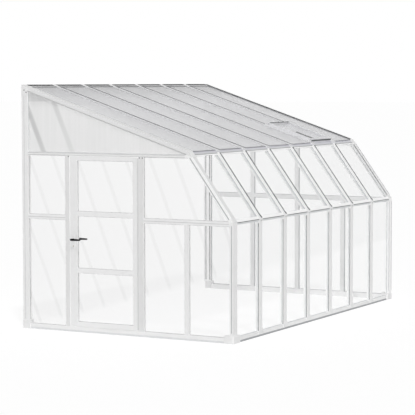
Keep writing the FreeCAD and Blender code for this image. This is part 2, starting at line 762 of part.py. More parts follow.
left_windows = [(0, latch_jamb_at + pane_bite, 0, lower_top),
                (0, latch_jamb_at + pane_bite, upper_low, upper_top),
                (hinge_jamb_end - pane_bite, lower_mullion_at + pane_bite, 0, lower_top),
                (lower_mullion_end - pane_bite, frame_depth, 0, lower_top),
                (hinge_jamb_end - pane_bite, frame_depth, upper_low, upper_top)]
parts["left_wall_panes"] = [pane(glazing["left"], x_left, RIGHT, *window) for window in left_windows]

# Right end: equal bays; the last mullion stops at the mid rail, which runs on over it
right_bars = (right_bays - 1) * end_mullion_width
right_clear = (frame_depth - post_width - corner_depth - right_bars) / right_bays
right_step = right_clear + end_mullion_width
right_edges = [post_width + index * right_step for index in range(right_bays)]
right_ends = [edge + right_clear for edge in right_edges]
parts["right_mullions"] = []
parts["right_mid_rails"] = []
parts["right_wall_panes"] = []
tall_bays = right_bays - 2
for bay in range(right_bays):
    start = right_edges[bay] - pane_bite
    end = right_ends[bay] + pane_bite
    parts["right_wall_panes"].append(pane(glazing["right"], x_right, LEFT, start, end, 0, lower_top))
    if bay < tall_bays:
        parts["right_wall_panes"].append(
            pane(glazing["right"], x_right, LEFT, start, end, upper_low, upper_top))
        parts["right_mid_rails"].append(
            wall_rail(x_right, LEFT, right_edges[bay], right_ends[bay], mid_rail_low, mid_rail_height))
    if bay < right_bays - 1:
        foot = from_house(x_right, right_ends[bay] + end_mullion_width / 2, sill_height)
        run = upright_run if bay < tall_bays else short_run
        parts["right_mullions"].append(bar(end_mullion_section, foot, FRONT, LEFT, run))
start = right_edges[tall_bays] - pane_bite
parts["right_wall_panes"].append(
    pane(glazing["right"], x_right, LEFT, start, frame_depth, upper_low, upper_top))
parts["right_mid_rails"].append(
    wall_rail(x_right, LEFT, right_edges[tall_bays], corner_at, mid_rail_low, mid_rail_height))

# Door leaf: two stiles, four rails and three panes
leaf_x = x_left + leaf_set
leaf_low = sill_height + door_clear
leaf_high = top_rail_low - door_clear
leaf_middle = leaf_depth / 2
stile_run = UP * (leaf_high - leaf_low)
rail_from = leaf_latch + latch_stile_width
rail_to = leaf_hinge - hinge_stile_width
rail_run = FRONT * (rail_to - rail_from)


def leaf_edge(width):
    return one_groove_section(width, leaf_depth, leaf_middle, pane_gap, pane_reach)


def leaf_rail(height):
    return two_groove_section(height, leaf_depth, leaf_middle, pane_gap, pane_reach)


stile_foot = from_house(leaf_x, leaf_latch, leaf_low)
latch_stile = bar(leaf_edge(latch_stile_width), stile_foot, FRONT, RIGHT, stile_run)
stile_foot = from_house(leaf_x, leaf_hinge, leaf_low)
parts["hinge_stile"] = [bar(leaf_edge(hinge_stile_width), stile_foot, BACK, RIGHT, stile_run)]
lower_middle = from_house(leaf_x, rail_from, lower_rail_low + lower_rail_height / 2)
upper_middle = from_house(leaf_x, rail_from, upper_rail_low + upper_rail_height / 2)
parts["door_rails"] = [
    bar(leaf_edge(door_bottom_rail), from_house(leaf_x, rail_from, leaf_low), UP, RIGHT, rail_run),
    bar(leaf_rail(lower_rail_height), lower_middle, UP, RIGHT, rail_run),
    bar(leaf_rail(upper_rail_height), upper_middle, UP, RIGHT, rail_run),
    bar(leaf_edge(door_top_rail), from_house(leaf_x, rail_from, leaf_high), UP * -1, RIGHT, rail_run)]
pane_spans = [(leaf_low + door_bottom_rail, lower_rail_low),
              (lower_rail_low + lower_rail_height, upper_rail_low),
              (upper_rail_low + upper_rail_height, leaf_high - door_top_rail)]
pane_near = leaf_x + leaf_middle - pane_thickness / 2
parts["door_panes"] = [
    block(from_house(pane_near, rail_from - pane_bite, low - pane_reach),
          from_house(pane_near + pane_thickness, rail_to + pane_bite, high + pane_bite))
    for low, high in pane_spans]

# Door hinge: bead and web on the leaf's edge, and an open socket on the jamb
socket_radius = bead_radius + socket_wall
hinge_low = leaf_low + hinge_trim
hinge_run = UP * (leaf_high - hinge_trim - hinge_low)
hinge_axis = from_house(x_left + socket_radius, leaf_hinge + hinge_gap / 2, hinge_low)
bead = rod(bead_radius - hinge_fit, hinge_axis, hinge_run)
web_near = hinge_axis + LEFT * (web_thickness / 2) + BACK * (bead_radius / 2)
web_far = hinge_axis + RIGHT * (web_thickness / 2) + BACK * (hinge_gap / 2) + hinge_run
parts["hinge_bead"] = [bead.fuse(block(web_near, web_far)).removeSplitter()]


def hinge_ray(degrees):
    """Point well outside the socket, at an angle from the leaf's direction towards the inside."""
    reach = 4 * socket_radius
    turn = math.radians(degrees)
    return hinge_axis + BACK * (reach * math.cos(turn)) + RIGHT * (reach * math.sin(turn))


socket_middle = (socket_open_from + socket_open_to) / 2
opening = ring([hinge_axis, hinge_ray(socket_open_from), hinge_ray(socket_middle),
                hinge_ray(socket_open_to)])
socket = rod(socket_radius, hinge_axis, hinge_run)
base_near = hinge_axis + FRONT * (hinge_gap / 2) + LEFT * (socket_base / 2)
base_far = hinge_axis + FRONT * bead_radius + RIGHT * (socket_base / 2) + hinge_run
socket = socket.fuse(block(base_near, base_far)).cut(rod(bead_radius, hinge_axis, hinge_run))
socket = socket.cut(Part.Face(opening).extrude(hinge_run))
floor_gap = UP * hinge_fit
floor_disc = rod(socket_radius, hinge_axis - UP * socket_floor - floor_gap, UP * socket_floor)
post_stub = socket_base / 2
stub_near = hinge_axis + FRONT * (hinge_gap / 2) + LEFT * post_stub - UP * socket_floor - floor_gap
stub_far = hinge_axis + FRONT * bead_radius + RIGHT * post_stub
floor_disc = floor_disc.fuse(block(stub_near, stub_far))
parts["hinge_socket"] = [socket.fuse(floor_disc).removeSplitter()]

# Lock: a case in the latch stile with its forend in the stile's edge, a latch and a dead bolt
spindle_axis = from_house(leaf_x + leaf_middle, leaf_latch + backset, handle_height)
key_axis = spindle_axis - UP * key_drop
case_low = handle_height - case_below
case_high = handle_height + case_above
forend_low = case_low - forend_margin
forend_high = case_high + forend_margin
latch_middle = handle_height + latch_rise
dead_middle = handle_height - key_drop


def lock_block(start, end, thickness, low, high):
    """Block centred in the leaf's depth, from the latch edge inwards."""
    middle = leaf_x + leaf_middle
    return block(from_house(middle - thickness / 2, leaf_latch + start, low),
                 from_house(middle + thickness / 2, leaf_latch + end, high))


def bolt_hole(start, end, middle, height, fit):
    low = middle - height / 2 - fit
    return lock_block(start, end, bolt_thickness + 2 * fit, low, low + height + 2 * fit)


def through_leaf(radius, axis):
    return rod(radius, axis + LEFT * leaf_depth, RIGHT * 2 * leaf_depth)


latch_stile = latch_stile.cut(lock_block(-overcut, forend_thickness, forend_width + 2 * running_fit,
                                         forend_low - running_fit, forend_high + running_fit))
window_half = lock_window / 2
parts["latch_stile"] = [latch_stile.cut(lock_block(backset - window_half, backset + window_half,
                                                   leaf_depth + 2 * overcut, dead_middle - window_half,
                                                   handle_height + window_half))]
lock_case = lock_block(0, forend_thickness, forend_width, forend_low, forend_high)
lock_case = lock_case.fuse(lock_block(forend_thickness, forend_thickness + case_width, case_thickness,
                                      case_low, case_high))
latch_way = latch_tail + latch_throw + overcut
dead_way = dead_bolt_length + overcut
lock_case = lock_case.cut(bolt_hole(-overcut, latch_way, latch_middle, latch_height, lock_fit))
lock_case = lock_case.cut(bolt_hole(-overcut, dead_way, dead_middle, dead_bolt_height, lock_fit))
lock_case = lock_case.cut(through_leaf(follower_radius, spindle_axis))
parts["lock_case"] = [lock_case.cut(through_leaf(key_cylinder_radius + running_fit, key_axis))]
latch_outline = [(-bolt_thickness / 2, -latch_throw), (-bolt_thickness / 4, -latch_throw),
                 (bolt_thickness / 2, 0), (bolt_thickness / 2, latch_tail), (-bolt_thickness / 2, latch_tail)]
latch_start = from_house(leaf_x + leaf_middle, leaf_latch, latch_middle - latch_height / 2)
parts["latch_bolt"] = [bar([latch_outline], latch_start, RIGHT, FRONT, UP * latch_height)]
parts["dead_bolt"] = [bolt_hole(0, dead_bolt_length, dead_middle, dead_bolt_height, 0)]

# Strike plate on the jamb, and the pockets behind it
strike_at = latch_jamb_at + jamb_width
strike_from = -door_clear
strike = lock_block(strike_from, strike_from + strike_thickness, strike_width, forend_low, forend_high)
for middle, height in ((latch_middle, latch_height), (dead_middle, dead_bolt_height)):
    pocket = bolt_hole(strike_from - jamb_width / 2, strike_from + strike_thickness, middle, height,
                       strike_fit)
    strike = strike.cut(pocket)
    latch_jamb = latch_jamb.cut(pocket)
parts["strike_plate"] = [strike]
parts["latch_jamb"] = [latch_jamb]


# Lever handles on one square spindle, long plates, and the key cylinder below the levers
def handle_plate(face_x, outward):
    """Plate with round ends, bored for the lever's hub and the key cylinder."""
    radius = plate_width / 2
    top = V(face_x, spindle_axis.y, spindle_axis.z + plate_above - radius)
    low = V(face_x, key_axis.y, key_axis.z - plate_below + radius)
    side = BACK * radius
    edges = [Part.Arc(top + side, top + UP * radius, top - side).toShape(),
             Part.makeLine(top - side, low - side),
             Part.Arc(low - side, low - UP * radius, low + side).toShape(),
             Part.makeLine(low + side, top + side)]
    plate = Part.Face(Part.Wire(edges)).extrude(outward * plate_thickness)
    front = face_x + outward.x * plate_thickness
    rim = [e for e in plate.Edges if all(abs(v.X - front) < touch for v in e.Vertexes)]
    plate = plate.makeChamfer(plate_chamfer, rim)
    for axis, radius in ((spindle_axis, lever_hub_radius), (key_axis, key_cylinder_radius)):
        plate = plate.cut(through_leaf(radius + running_fit, axis))
    return plate


def lever(face_x, outward):
    """A hub that turns in the plate, and a tapered arm with round ends that points to the hinge side."""
    hub_start = V(face_x, spindle_axis.y, spindle_axis.z) + outward * lock_fit
    hub = rod(lever_hub_radius, hub_start, outward * (lever_standoff + lever_thickness / 2 - lock_fit))
    arm_foot = V(face_x, spindle_axis.y, spindle_axis.z) + outward * lever_standoff
    lean = math.asin((lever_root_radius - lever_tip_radius) / lever_length)

    def edge_point(along, radius, degrees):
        return arm_foot + FRONT * (along + radius * math.cos(degrees)) + UP * radius * math.sin(degrees)

    quarter = math.pi / 2 - lean
    root_top = edge_point(0, lever_root_radius, quarter)
    root_end = edge_point(0, lever_root_radius, math.pi)
    root_low = edge_point(0, lever_root_radius, -quarter)
    tip_top = edge_point(lever_length, lever_tip_radius, quarter)
    tip_end = edge_point(lever_length, lever_tip_radius, 0)
    tip_low = edge_point(lever_length, lever_tip_radius, -quarter)
    edges = [Part.Arc(root_low, root_end, root_top).toShape(), Part.makeLine(root_top, tip_top),
             Part.Arc(tip_top, tip_end, tip_low).toShape(), Part.makeLine(tip_low, root_low)]
    arm = Part.Face(Part.Wire(edges)).extrude(outward * lever_thickness)
    arm = arm.makeChamfer(lever_edge, arm.Edges)
    half_hole = spindle_side / 2 + running_fit
    hole_end = spindle_tail + running_fit
    hole = block(V(face_x, spindle_axis.y - half_hole, spindle_axis.z - half_hole),
                 V(face_x, spindle_axis.y + half_hole, spindle_axis.z + half_hole) + outward * hole_end)
    return hub.fuse(arm).cut(hole).removeSplitter()


leaf_sides = (("outer", leaf_x, LEFT), ("inner", leaf_x + leaf_depth, RIGHT))
parts["handle_plates"] = []
for name, face_x, outward in leaf_sides:
    parts[name + "_lever"] = [lever(face_x, outward)]
    parts["handle_plates"].append(handle_plate(face_x, outward))
half_side = spindle_side / 2
half_spindle = leaf_middle + spindle_tail
spindle = block(spindle_axis + V(-half_spindle, -half_side, -half_side),
                spindle_axis + V(half_spindle, half_side, half_side))
follower_from = spindle_axis + LEFT * (case_thickness / 2)
follower = rod(follower_radius - running_fit, follower_from, RIGHT * case_thickness)
parts["handle_spindle"] = [spindle.fuse(follower).removeSplitter()]
half_key = leaf_middle + key_proud
key_start = key_axis + LEFT * half_key
key_run = RIGHT * 2 * half_key
cylinder = rod(key_cylinder_radius, key_start, key_run)
parts["key_cylinder"] = [cylinder.cut(rod(key_plug_radius + running_fit, key_start, key_run))]
slot_half = V(half_key, key_slot_width / 2, key_slot_height / 2)
slot_depth = RIGHT * (key_proud + leaf_middle)
slot_corner = key_axis - slot_half
key_slot = block(slot_corner, slot_corner + slot_depth + V(0, key_slot_width, key_slot_height))
parts["key_plug"] = [rod(key_plug_radius, key_start, key_run).cut(key_slot)]

# Roof vent: a fixed curb between two roof bars, and a leaf that lies over their caps
vent_from = bar_x(vent_bay) + mullion_width / 2
vent_to = bar_x(vent_bay + 1) - mullion_width / 2
vent_middle = (vent_from + vent_to) / 2


def roof_block(x_from, x_to, along_from, along_to, out_from, out_to):
    section = [rectangle(0, 0, x_to - x_from, out_to - out_from)]
    start = on_roof(along_from, out_from, x_from)
    return bar(section, start, RIGHT, roof_out, roof_up * (along_to - along_from))


def roof_rod(radius, along, out, x_from, x_to):
    return rod(radius, on_roof(along, out, x_from), RIGHT * (x_to - x_from))


sill_end = curb_sill_from + curb_sill
rod_along = vent_top + vent_axis_out
header = roof_block(vent_from, vent_to, header_low, header_high, -curb_depth, -curb_drop)
header = header.cut(roof_block(vent_from, vent_to, header_high - panel_reach, header_high,
                               -under_panel, -bar_proud))
ear_places = [vent_middle + side * vent_ear_spacing for side in (-1, 1)]
for x in ear_places:
    ear_end = x - vent_ear_gap / 2
    ear = roof_rod(vent_ear_radius, rod_along, vent_axis_up, ear_end - vent_ear_width, ear_end)
    foot = roof_block(ear_end - vent_ear_width, ear_end, rod_along - vent_ear_radius, header_high,
                      -curb_drop, vent_axis_up)
    header = header.fuse(ear.fuse(foot))
header = header.cut(roof_rod(vent_rod_radius + running_fit / 2, rod_along, vent_axis_up, vent_from, vent_to))
parts["vent_curb"] = [
    roof_block(vent_from, vent_to, curb_sill_from, sill_end, -under_panel, -curb_drop),
    roof_block(vent_from, vent_from + curb_side, sill_end, header_low, -curb_depth, -curb_drop),
    roof_block(vent_to - curb_side, vent_to, sill_end, header_low, -curb_depth, -curb_drop),
    header.removeSplitter()]
parts["vent_hinge_rod"] = [roof_rod(vent_rod_radius, rod_along, vent_axis_up,
                                    vent_from + vent_rod_inset, vent_to - vent_rod_inset)]
leaf_from = vent_from - vent_lap
leaf_to = vent_to + vent_lap
vent_edge = one_groove_section(vent_rail, vent_thickness, vent_thickness / 2, panel_gap, panel_reach)
cross_run = RIGHT * (leaf_to - leaf_from)
side_run = roof_up * (vent_length - 2 * vent_rail)
top_rail = bar(vent_edge, on_roof(vent_top, vent_lift, leaf_from), roof_up * -1, roof_out, cross_run)
for x in ear_places:
    lug_from = x + vent_ear_gap / 2
    lug = roof_rod(vent_ear_radius, rod_along, vent_axis_up, lug_from, lug_from + vent_ear_width)
    arm_half = vent_ear_radius / 2
    arm = roof_block(lug_from, lug_from + vent_ear_width, vent_top, rod_along,
                     vent_axis_up - arm_half, vent_axis_up + arm_half)
    top_rail = top_rail.fuse(lug.fuse(arm))
top_rail = top_rail.cut(roof_rod(vent_rod_radius + running_fit, rod_along, vent_axis_up, vent_from, vent_to))
parts["vent_leaf_frame"] = [
    bar(vent_edge, on_roof(vent_foot, vent_lift, leaf_from), roof_up, roof_out, cross_run),
    bar(vent_edge, on_roof(vent_foot + vent_rail, vent_lift, leaf_from), RIGHT, roof_out, side_run),
    bar(vent_edge, on_roof(vent_foot + vent_rail, vent_lift, leaf_to), LEFT, roof_out, side_run),
    top_rail.removeSplitter()]
panel_low = vent_lift + (vent_thickness - panel_thickness) / 2
pane_inset = vent_rail - panel_bite
parts["vent_panel"] = [roof_block(leaf_from + pane_inset, leaf_to - pane_inset, vent_foot + pane_inset,
                                  vent_top - pane_inset, panel_low, panel_low + panel_thickness)]

# Vent stay: cheeks under the leaf's lower rail carry the pin, and a peg on the curb holds the open stay
rail_inner = vent_foot + vent_rail
cheek_end = rail_inner + cheek_length
cheek_low = -stay_pivot_under - cheek_under
cheek_outline = [on_roof(rail_inner, vent_lift), on_roof(rail_inner, cheek_top),
                 on_roof(cheek_end, cheek_top), on_roof(cheek_end, cheek_low),
                 on_roof(rail_inner + cheek_step, cheek_low), on_roof(rail_inner + cheek_step, vent_lift)]
stay_half = stay_thickness / 2
cheek_near = stay_half + cheek_gap
pin_end = cheek_near + cheek_thickness
bracket = roof_rod(stay_pin_radius, stay_pivot_up, -stay_pivot_under,
                   vent_middle - pin_end, vent_middle + pin_end)
for side in (-1, 1):
    cheek = run_along([cheek_outline], vent_middle + side * cheek_near, vent_middle + side * pin_end)
    bracket = bracket.fuse(cheek)
parts["stay_bracket"] = [bracket.removeSplitter()]
stay_end = stay_pivot_up + stay_length
stay_from = vent_middle - stay_half
stay_to = vent_middle + stay_half
stay = roof_block(stay_from, stay_to, stay_pivot_up, stay_end,
                  -stay_pivot_under - stay_width / 2, stay_width / 2 - stay_pivot_under)
for along in (stay_pivot_up, stay_end):
    stay = stay.fuse(roof_rod(stay_width / 2, along, -stay_pivot_under, stay_from, stay_to))
stay = stay.cut(roof_rod(stay_pin_radius + running_fit, stay_pivot_up, -stay_pivot_under, stay_from, stay_to))
for step in range(stay_holes):
    hole_at = stay_end - step * stay_hole_spacing
    stay = stay.cut(roof_rod(stay_pin_radius, hole_at, -stay_pivot_under, stay_from, stay_to))
grip_at = stay_end - stay_hole_spacing / 2
grip = roof_rod(stay_grip_radius, grip_at, -stay_pivot_under, stay_from - stay_grip_length, stay_from)
parts["vent_stay"] = [stay.fuse(grip).removeSplitter()]
peg_from = stay_to + peg_clear
peg_block_from = peg_from + peg_length
peg = roof_rod(peg_radius, peg_up, -peg_under, peg_from, peg_block_from)
carrier = roof_block(peg_block_from, peg_block_from + peg_block, sill_end, sill_end + peg_block_length,
                     -peg_under - peg_block / 2, peg_block / 2 - peg_under)
parts["stay_peg"] = [peg.fuse(carrier).removeSplitter()]

os.makedirs("parts", exist_ok=True)
for name, solids in parts.items():
    shape = solids[0] if len(solids) == 1 else Part.makeCompound(solids)
    shape.exportStep("parts/" + name + ".step")
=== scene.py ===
import math

import bmesh
import bpy
from mathutils import Matrix, Vector


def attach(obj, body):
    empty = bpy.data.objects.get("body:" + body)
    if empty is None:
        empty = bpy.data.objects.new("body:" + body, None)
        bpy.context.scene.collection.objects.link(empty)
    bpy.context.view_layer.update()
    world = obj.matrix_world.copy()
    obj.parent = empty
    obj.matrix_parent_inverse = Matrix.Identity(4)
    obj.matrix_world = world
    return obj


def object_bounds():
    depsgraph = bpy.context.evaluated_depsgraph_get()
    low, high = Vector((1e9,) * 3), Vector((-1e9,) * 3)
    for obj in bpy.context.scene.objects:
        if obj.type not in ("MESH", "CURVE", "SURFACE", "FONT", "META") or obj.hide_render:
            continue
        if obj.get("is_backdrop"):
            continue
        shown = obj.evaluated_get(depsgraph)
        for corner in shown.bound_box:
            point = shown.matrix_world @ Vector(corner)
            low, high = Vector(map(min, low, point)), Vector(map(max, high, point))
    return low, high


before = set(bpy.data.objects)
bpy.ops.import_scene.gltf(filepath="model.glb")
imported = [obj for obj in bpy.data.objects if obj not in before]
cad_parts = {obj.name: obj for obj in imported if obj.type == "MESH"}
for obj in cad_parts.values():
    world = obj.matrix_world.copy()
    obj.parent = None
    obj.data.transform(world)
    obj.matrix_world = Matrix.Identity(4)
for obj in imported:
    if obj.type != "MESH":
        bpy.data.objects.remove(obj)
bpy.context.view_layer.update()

# Sills: the bottom rails of the front and the two ends, hollow bars of white rigid PVC.
# They are extruded, cut to length, laid on the floor between the shoes and screwed down inside.
def linear(hex_colour):
    """An sRGB hex colour as the linear RGBA that a shader takes."""
    channels = [int(hex_colour[i:i + 2], 16) / 255 for i in (1, 3, 5)]
    return [c / 12.92 if c <= 0.04045 else ((c + 0.055) / 1.055) ** 2.4 for c in channels] + [1.0]


def add_node(material, kind, settings, inputs):
    """Add a shader node with its settings; an input is a value or the output of another node."""
    node = material.node_tree.nodes.new(f"ShaderNode{kind}")
    for name, value in settings.items():
        setattr(node, name, value)
    for name, value in inputs.items():
        if isinstance(value, bpy.types.NodeSocket):
            material.node_tree.links.new(value, node.inputs[name])
        else:
            node.inputs[name].default_value = value
    return node


def new_material(name):
    """A material without nodes but for its Object coordinates, which come with it."""
    material = bpy.data.materials.new(name)
    material.use_nodes = True
    material.node_tree.nodes.clear()
    return material, add_node(material, "TexCoord", {}, {}).outputs["Object"]


def finish_nodes(material, *names):
    """Give a finish to the CAD nodes of those names."""
    for name in names:
        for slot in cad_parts[name].material_slots:
            slot.material = material


def span(name, axis, clear=0.0):
    """Where a CAD node begins and ends along X, Y or Z, to a tenth of a millimetre, less a clearance."""
    places = [vertex.co["XYZ".index(axis)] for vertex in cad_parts[name].data.vertices]
    return round(min(places), 4) + clear, round(max(places), 4) - clear


die_line = 0.004
die_length = 1.5
pvc_patch = 0.35
# Painted light and shade: from 4 to 7 mm behind an outer face the tone turns to a painted side tone.
painted_side_start = 0.004
painted_side_full = 0.007


def extruded_pvc(name, rise, white, shade, along_front=False, outer=None, inside="#FBFBFB"):
    """Rigid PVC, extruded: satin, with faint lines from the die along the bar.
    The real lines are finer than half a millimetre; they are drawn 4 mm wide so that they show.
    Painted light and shade: from 4 to 7 mm behind the outer face the tone turns to the inside tone.
    That paints side faces lighter against their shade; on the slope rail it leaves a painted highlight
    along the edge, on the gutter a pale underside."""
    material, place = new_material(name)
    sizes = (die_length, die_line, die_line) if along_front else (die_line, die_length, die_line)
    lie = add_node(material, "Mapping", {"vector_type": "TEXTURE"},
                   {"Vector": place, "Rotation": (rise, 0, 0), "Scale": sizes})
    lines = add_node(material, "TexNoise", {},
                     {"Vector": lie.outputs["Vector"], "Scale": 1.0, "Detail": 2.0})
    patches = add_node(material, "TexNoise", {}, {"Vector": place, "Scale": 1 / pvc_patch, "Detail": 3.0})
    tone = add_node(material, "Mix", {"data_type": "RGBA"},
                    {0: patches.outputs["Fac"], 6: linear(white), 7: linear(shade)})
    if outer:
        axis, face = outer
        spot = add_node(material, "SeparateXYZ", {}, {"Vector": place})
        depth = add_node(material, "MapRange", {},
                         {"Value": spot.outputs[axis], "From Min": face + painted_side_start,
                          "From Max": face + painted_side_full})
        tone = add_node(material, "Mix", {"data_type": "RGBA"},
                        {0: depth.outputs["Result"], 6: tone.outputs[2], 7: linear(inside)})
    gloss = add_node(material, "MapRange", {},
                     {"Value": lines.outputs["Fac"], "To Min": 0.34, "To Max": 0.46})
    relief = add_node(material, "Bump", {},
                      {"Height": lines.outputs["Fac"], "Strength": 0.12, "Distance": 0.0005})
    shader = add_node(material, "BsdfPrincipled", {},
                      {"Base Color": tone.outputs[2], "Roughness": gloss.outputs["Result"],
                       "Normal": relief.outputs["Normal"], "IOR": 1.53})
    add_node(material, "OutputMaterial", {}, {"Surface": shader.outputs["BSDF"]})
    return material


left_face, right_face = span("side_sills", "X")
pvc_along_front = extruded_pvc("extruded_white_pvc_along_front", 0.0, "#EDEDED", "#E4E4E4",
                               along_front=True)
# Behind the door end's outer face the end sills take a painted side tone: painted light and shade by face.
pvc_side_sill = extruded_pvc("extruded_white_pvc_side_sill", 0.0, "#EDEDED", "#E4E4E4",
                             outer=("X", left_face), inside="#E8E8E8")
finish_nodes(pvc_along_front, "front_sill")
finish_nodes(pvc_side_sill, "side_sills")

# Base seals: strips of cellular rubber in the set-back foot of the sills, painted shade under the drip
# edge, darker at the front than at the ends.
# They are cut from a roll and pressed in between the floor and the drip edge.
bloom_patch = 0.03
rounded_share = 0.35


def seal_rubber(name, colour, bloom_colour, polish=0.5):
    """Extruded rubber: matt, with a pale bloom in patches about 30 mm across; polish sets its gloss."""
    material, place = new_material(name)
    bloom = add_node(material, "TexNoise", {}, {"Vector": place, "Scale": 1 / bloom_patch, "Detail": 3.0})
    tone = add_node(material, "Mix", {"data_type": "RGBA"},
                    {0: bloom.outputs["Fac"], 6: linear(colour), 7: linear(bloom_colour)})
    relief = add_node(material, "Bump", {},
                      {"Height": bloom.outputs["Fac"], "Strength": 0.1, "Distance": 0.0005})
    shader = add_node(material, "BsdfPrincipled", {},
                      {"Base Color": tone.outputs[2], "Roughness": 0.75, "IOR": 1.5,
                       "Specular IOR Level": polish, "Normal": relief.outputs["Normal"]})
    add_node(material, "OutputMaterial", {}, {"Surface": shader.outputs["BSDF"]})
    return material


def hand_in(piece, material, body):
    """Give a finished piece its material and its CAD body."""
    piece.data.materials.clear()
    piece.data.materials.append(material)
    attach(piece, body)


def at(x=0.0, y=0.0, z=0.0):
    """A place, a step or a direction in the frame's axes."""
    return Vector((x, y, z))


def seal_strip(name, ends, edges, out, thickness, material, body="frame"):
    """Model a strip between two ends and two edges; each corner is the sum of an end and an edge.
    The strip is raised along out, with its outer edges rounded."""
    bpy.ops.object.select_all(action="DESELECT")
    bpy.ops.mesh.primitive_plane_add(size=1.0)
    piece = bpy.context.object
    piece.name = piece.data.name = name
    for vertex, corner in zip(piece.data.vertices, [end + edge for end in ends for edge in edges]):
        vertex.co = corner
    bpy.ops.object.mode_set(mode="EDIT")
    bpy.ops.mesh.select_all(action="SELECT")
    bpy.ops.mesh.extrude_region_move(TRANSFORM_OT_translate={"value": out * thickness})
    bpy.ops.mesh.bevel(offset=thickness * rounded_share, segments=2)
    bpy.ops.mesh.select_all(action="SELECT")
    bpy.ops.mesh.normals_make_consistent(inside=False)
    bpy.ops.object.mode_set(mode="OBJECT")
    hand_in(piece, material, body)
    return piece


front_face = span("front_sill", "Y")[0]
front_out = at(y=-1)
end_walls = (("left", left_face, -1), ("right", right_face, 1))
plinth_set = 0.008
base_seal_clear = 0.001
base_seal_thick = 0.005
base_seal_ends = (at(z=0.001), at(z=0.020))
base_shade_rubber = seal_rubber("dark_cellular_rubber", "#9C9EA0", "#AAACAE")
base_shade_rubber_pale = seal_rubber("pale_cellular_rubber", "#D4D5D6", "#DEDFE0")
edges = [at(x, front_face + plinth_set) for x in span("front_sill", "X", base_seal_clear)]
seal_strip("front_base_seal", base_seal_ends, edges, front_out, base_seal_thick, base_shade_rubber)
for name, face, way in end_walls:
    edges = [at(face - way * plinth_set, y) for y in span("side_sills", "Y", base_seal_clear)]
    seal_strip(f"{name}_base_seal", base_seal_ends, edges, at(way), base_seal_thick, base_shade_rubber_pale)

# Shoes, mullion feet and covers: white PVC moulded in a steel tool, with a fine eroded grain.
# The shoes join the sills at the corners; feet and covers are pressed over the joints of the bars.
tool_grain = 0.003
flow_mark = 0.12


def moulded_pvc(name, white, shade):
    """Moulded PVC: a little duller than the bars, with flow marks and a 3 mm drawn grain;
    the real grain is a tenth of that and wouldn't show."""
    material, place = new_material(name)
    grain = add_node(material, "TexNoise", {}, {"Vector": place, "Scale": 1 / tool_grain, "Detail": 1.0})
    flow = add_node(material, "TexNoise", {},
                    {"Vector": place, "Scale": 1 / flow_mark, "Detail": 2.0, "Distortion": 0.6})
    tone = add_node(material, "Mix", {"data_type": "RGBA"},
                    {0: flow.outputs["Fac"], 6: linear(white), 7: linear(shade)})
    gloss = add_node(material, "MapRange", {},
                     {"Value": grain.outputs["Fac"], "To Min": 0.42, "To Max": 0.56})
    relief = add_node(material, "Bump", {},
                      {"Height": grain.outputs["Fac"], "Strength": 0.15, "Distance": 0.0005})
    shader = add_node(material, "BsdfPrincipled", {},
                      {"Base Color": tone.outputs[2], "Roughness": gloss.outputs["Result"],
                       "Normal": relief.outputs["Normal"], "IOR": 1.53})
    add_node(material, "OutputMaterial", {}, {"Surface": shader.outputs["BSDF"]})
    return material


shoe_pvc = moulded_pvc("moulded_white_pvc", "#E8E8E8", "#DFDFDF")
finish_nodes(shoe_pvc, "front_shoes", "rear_shoes", "mullion_feet", "knee_covers", "rafter_nose_caps",
             "ridge_end_caps")

# Uprights: wall posts, corner posts, mullions and jambs, the same white PVC with the lines upright.
# They stand in the shoes or on the sills and carry the panes in grooves down their sides.
upright = math.pi / 2
# Behind their outer face the posts, stiles and mullions are painted near white: painted light against the
# shade on their sides.
pvc_upright = extruded_pvc("extruded_white_pvc_upright", upright, "#EAEAEA", "#E0E0E0",
                           outer=("X", left_face))
pvc_corner = extruded_pvc("extruded_white_pvc_corner", upright, "#EAEAEA", "#E0E0E0")
pvc_mullion = extruded_pvc("extruded_white_pvc_mullion", upright, "#EAEAEA", "#E0E0E0",
                           outer=("Y", front_face))
# The jambs are painted darker than the stiles: painted shade.
pvc_jamb = extruded_pvc("extruded_white_pvc_jamb", upright, "#E0E0E0", "#D8D8D8", outer=("X", left_face))
# At the far right end the posts are painted lighter and the mullions darker than at the door end: painted
# light and shade on the same PVC.
pvc_far_upright = extruded_pvc("extruded_white_pvc_upright_shade_side", upright, "#F6F6F6", "#EFEFEF")
pvc_far_mullion = extruded_pvc("extruded_grey_pvc_mullion_shade_side", upright, "#E4E4E4", "#DCDCDC")
finish_nodes(pvc_upright, "left_wall_post", "left_lower_mullion")
finish_nodes(pvc_corner, "left_corner_post")
finish_nodes(pvc_mullion, "front_mullions")
finish_nodes(pvc_jamb, "latch_jamb", "hinge_jamb")
finish_nodes(pvc_far_upright, "right_wall_post", "right_corner_post")
finish_nodes(pvc_far_mullion, "right_mullions")

# Post lines: thin grey rubber strips in the grooves of the wall posts' outer faces, painted shade in
# the grooves. They close the joint between the post and the cover that hides its wall screws.
# This grey rubber also paints shade: in these grooves and round the panes of the far right end.
grey_rubber_and_shade = seal_rubber("grey_rubber_strip", "#9EA0A2", "#AAACAE")
post_edge, house_face = span("left_wall_post", "Y")
post_line_ends = (at(z=0.100), at(z=2.535))
post_line_back = 0.0308
post_line_width = 0.0036
post_line_depth = 0.004
post_line_thick = 0.003
for name, face, way in end_walls:
    near = at(face - way * post_line_depth, house_face - post_line_back)
    far = near + at(y=post_line_width)
    seal_strip(f"{name}_post_line", post_line_ends, (near, far), at(way), post_line_thick, grey_rubber_and_shade)

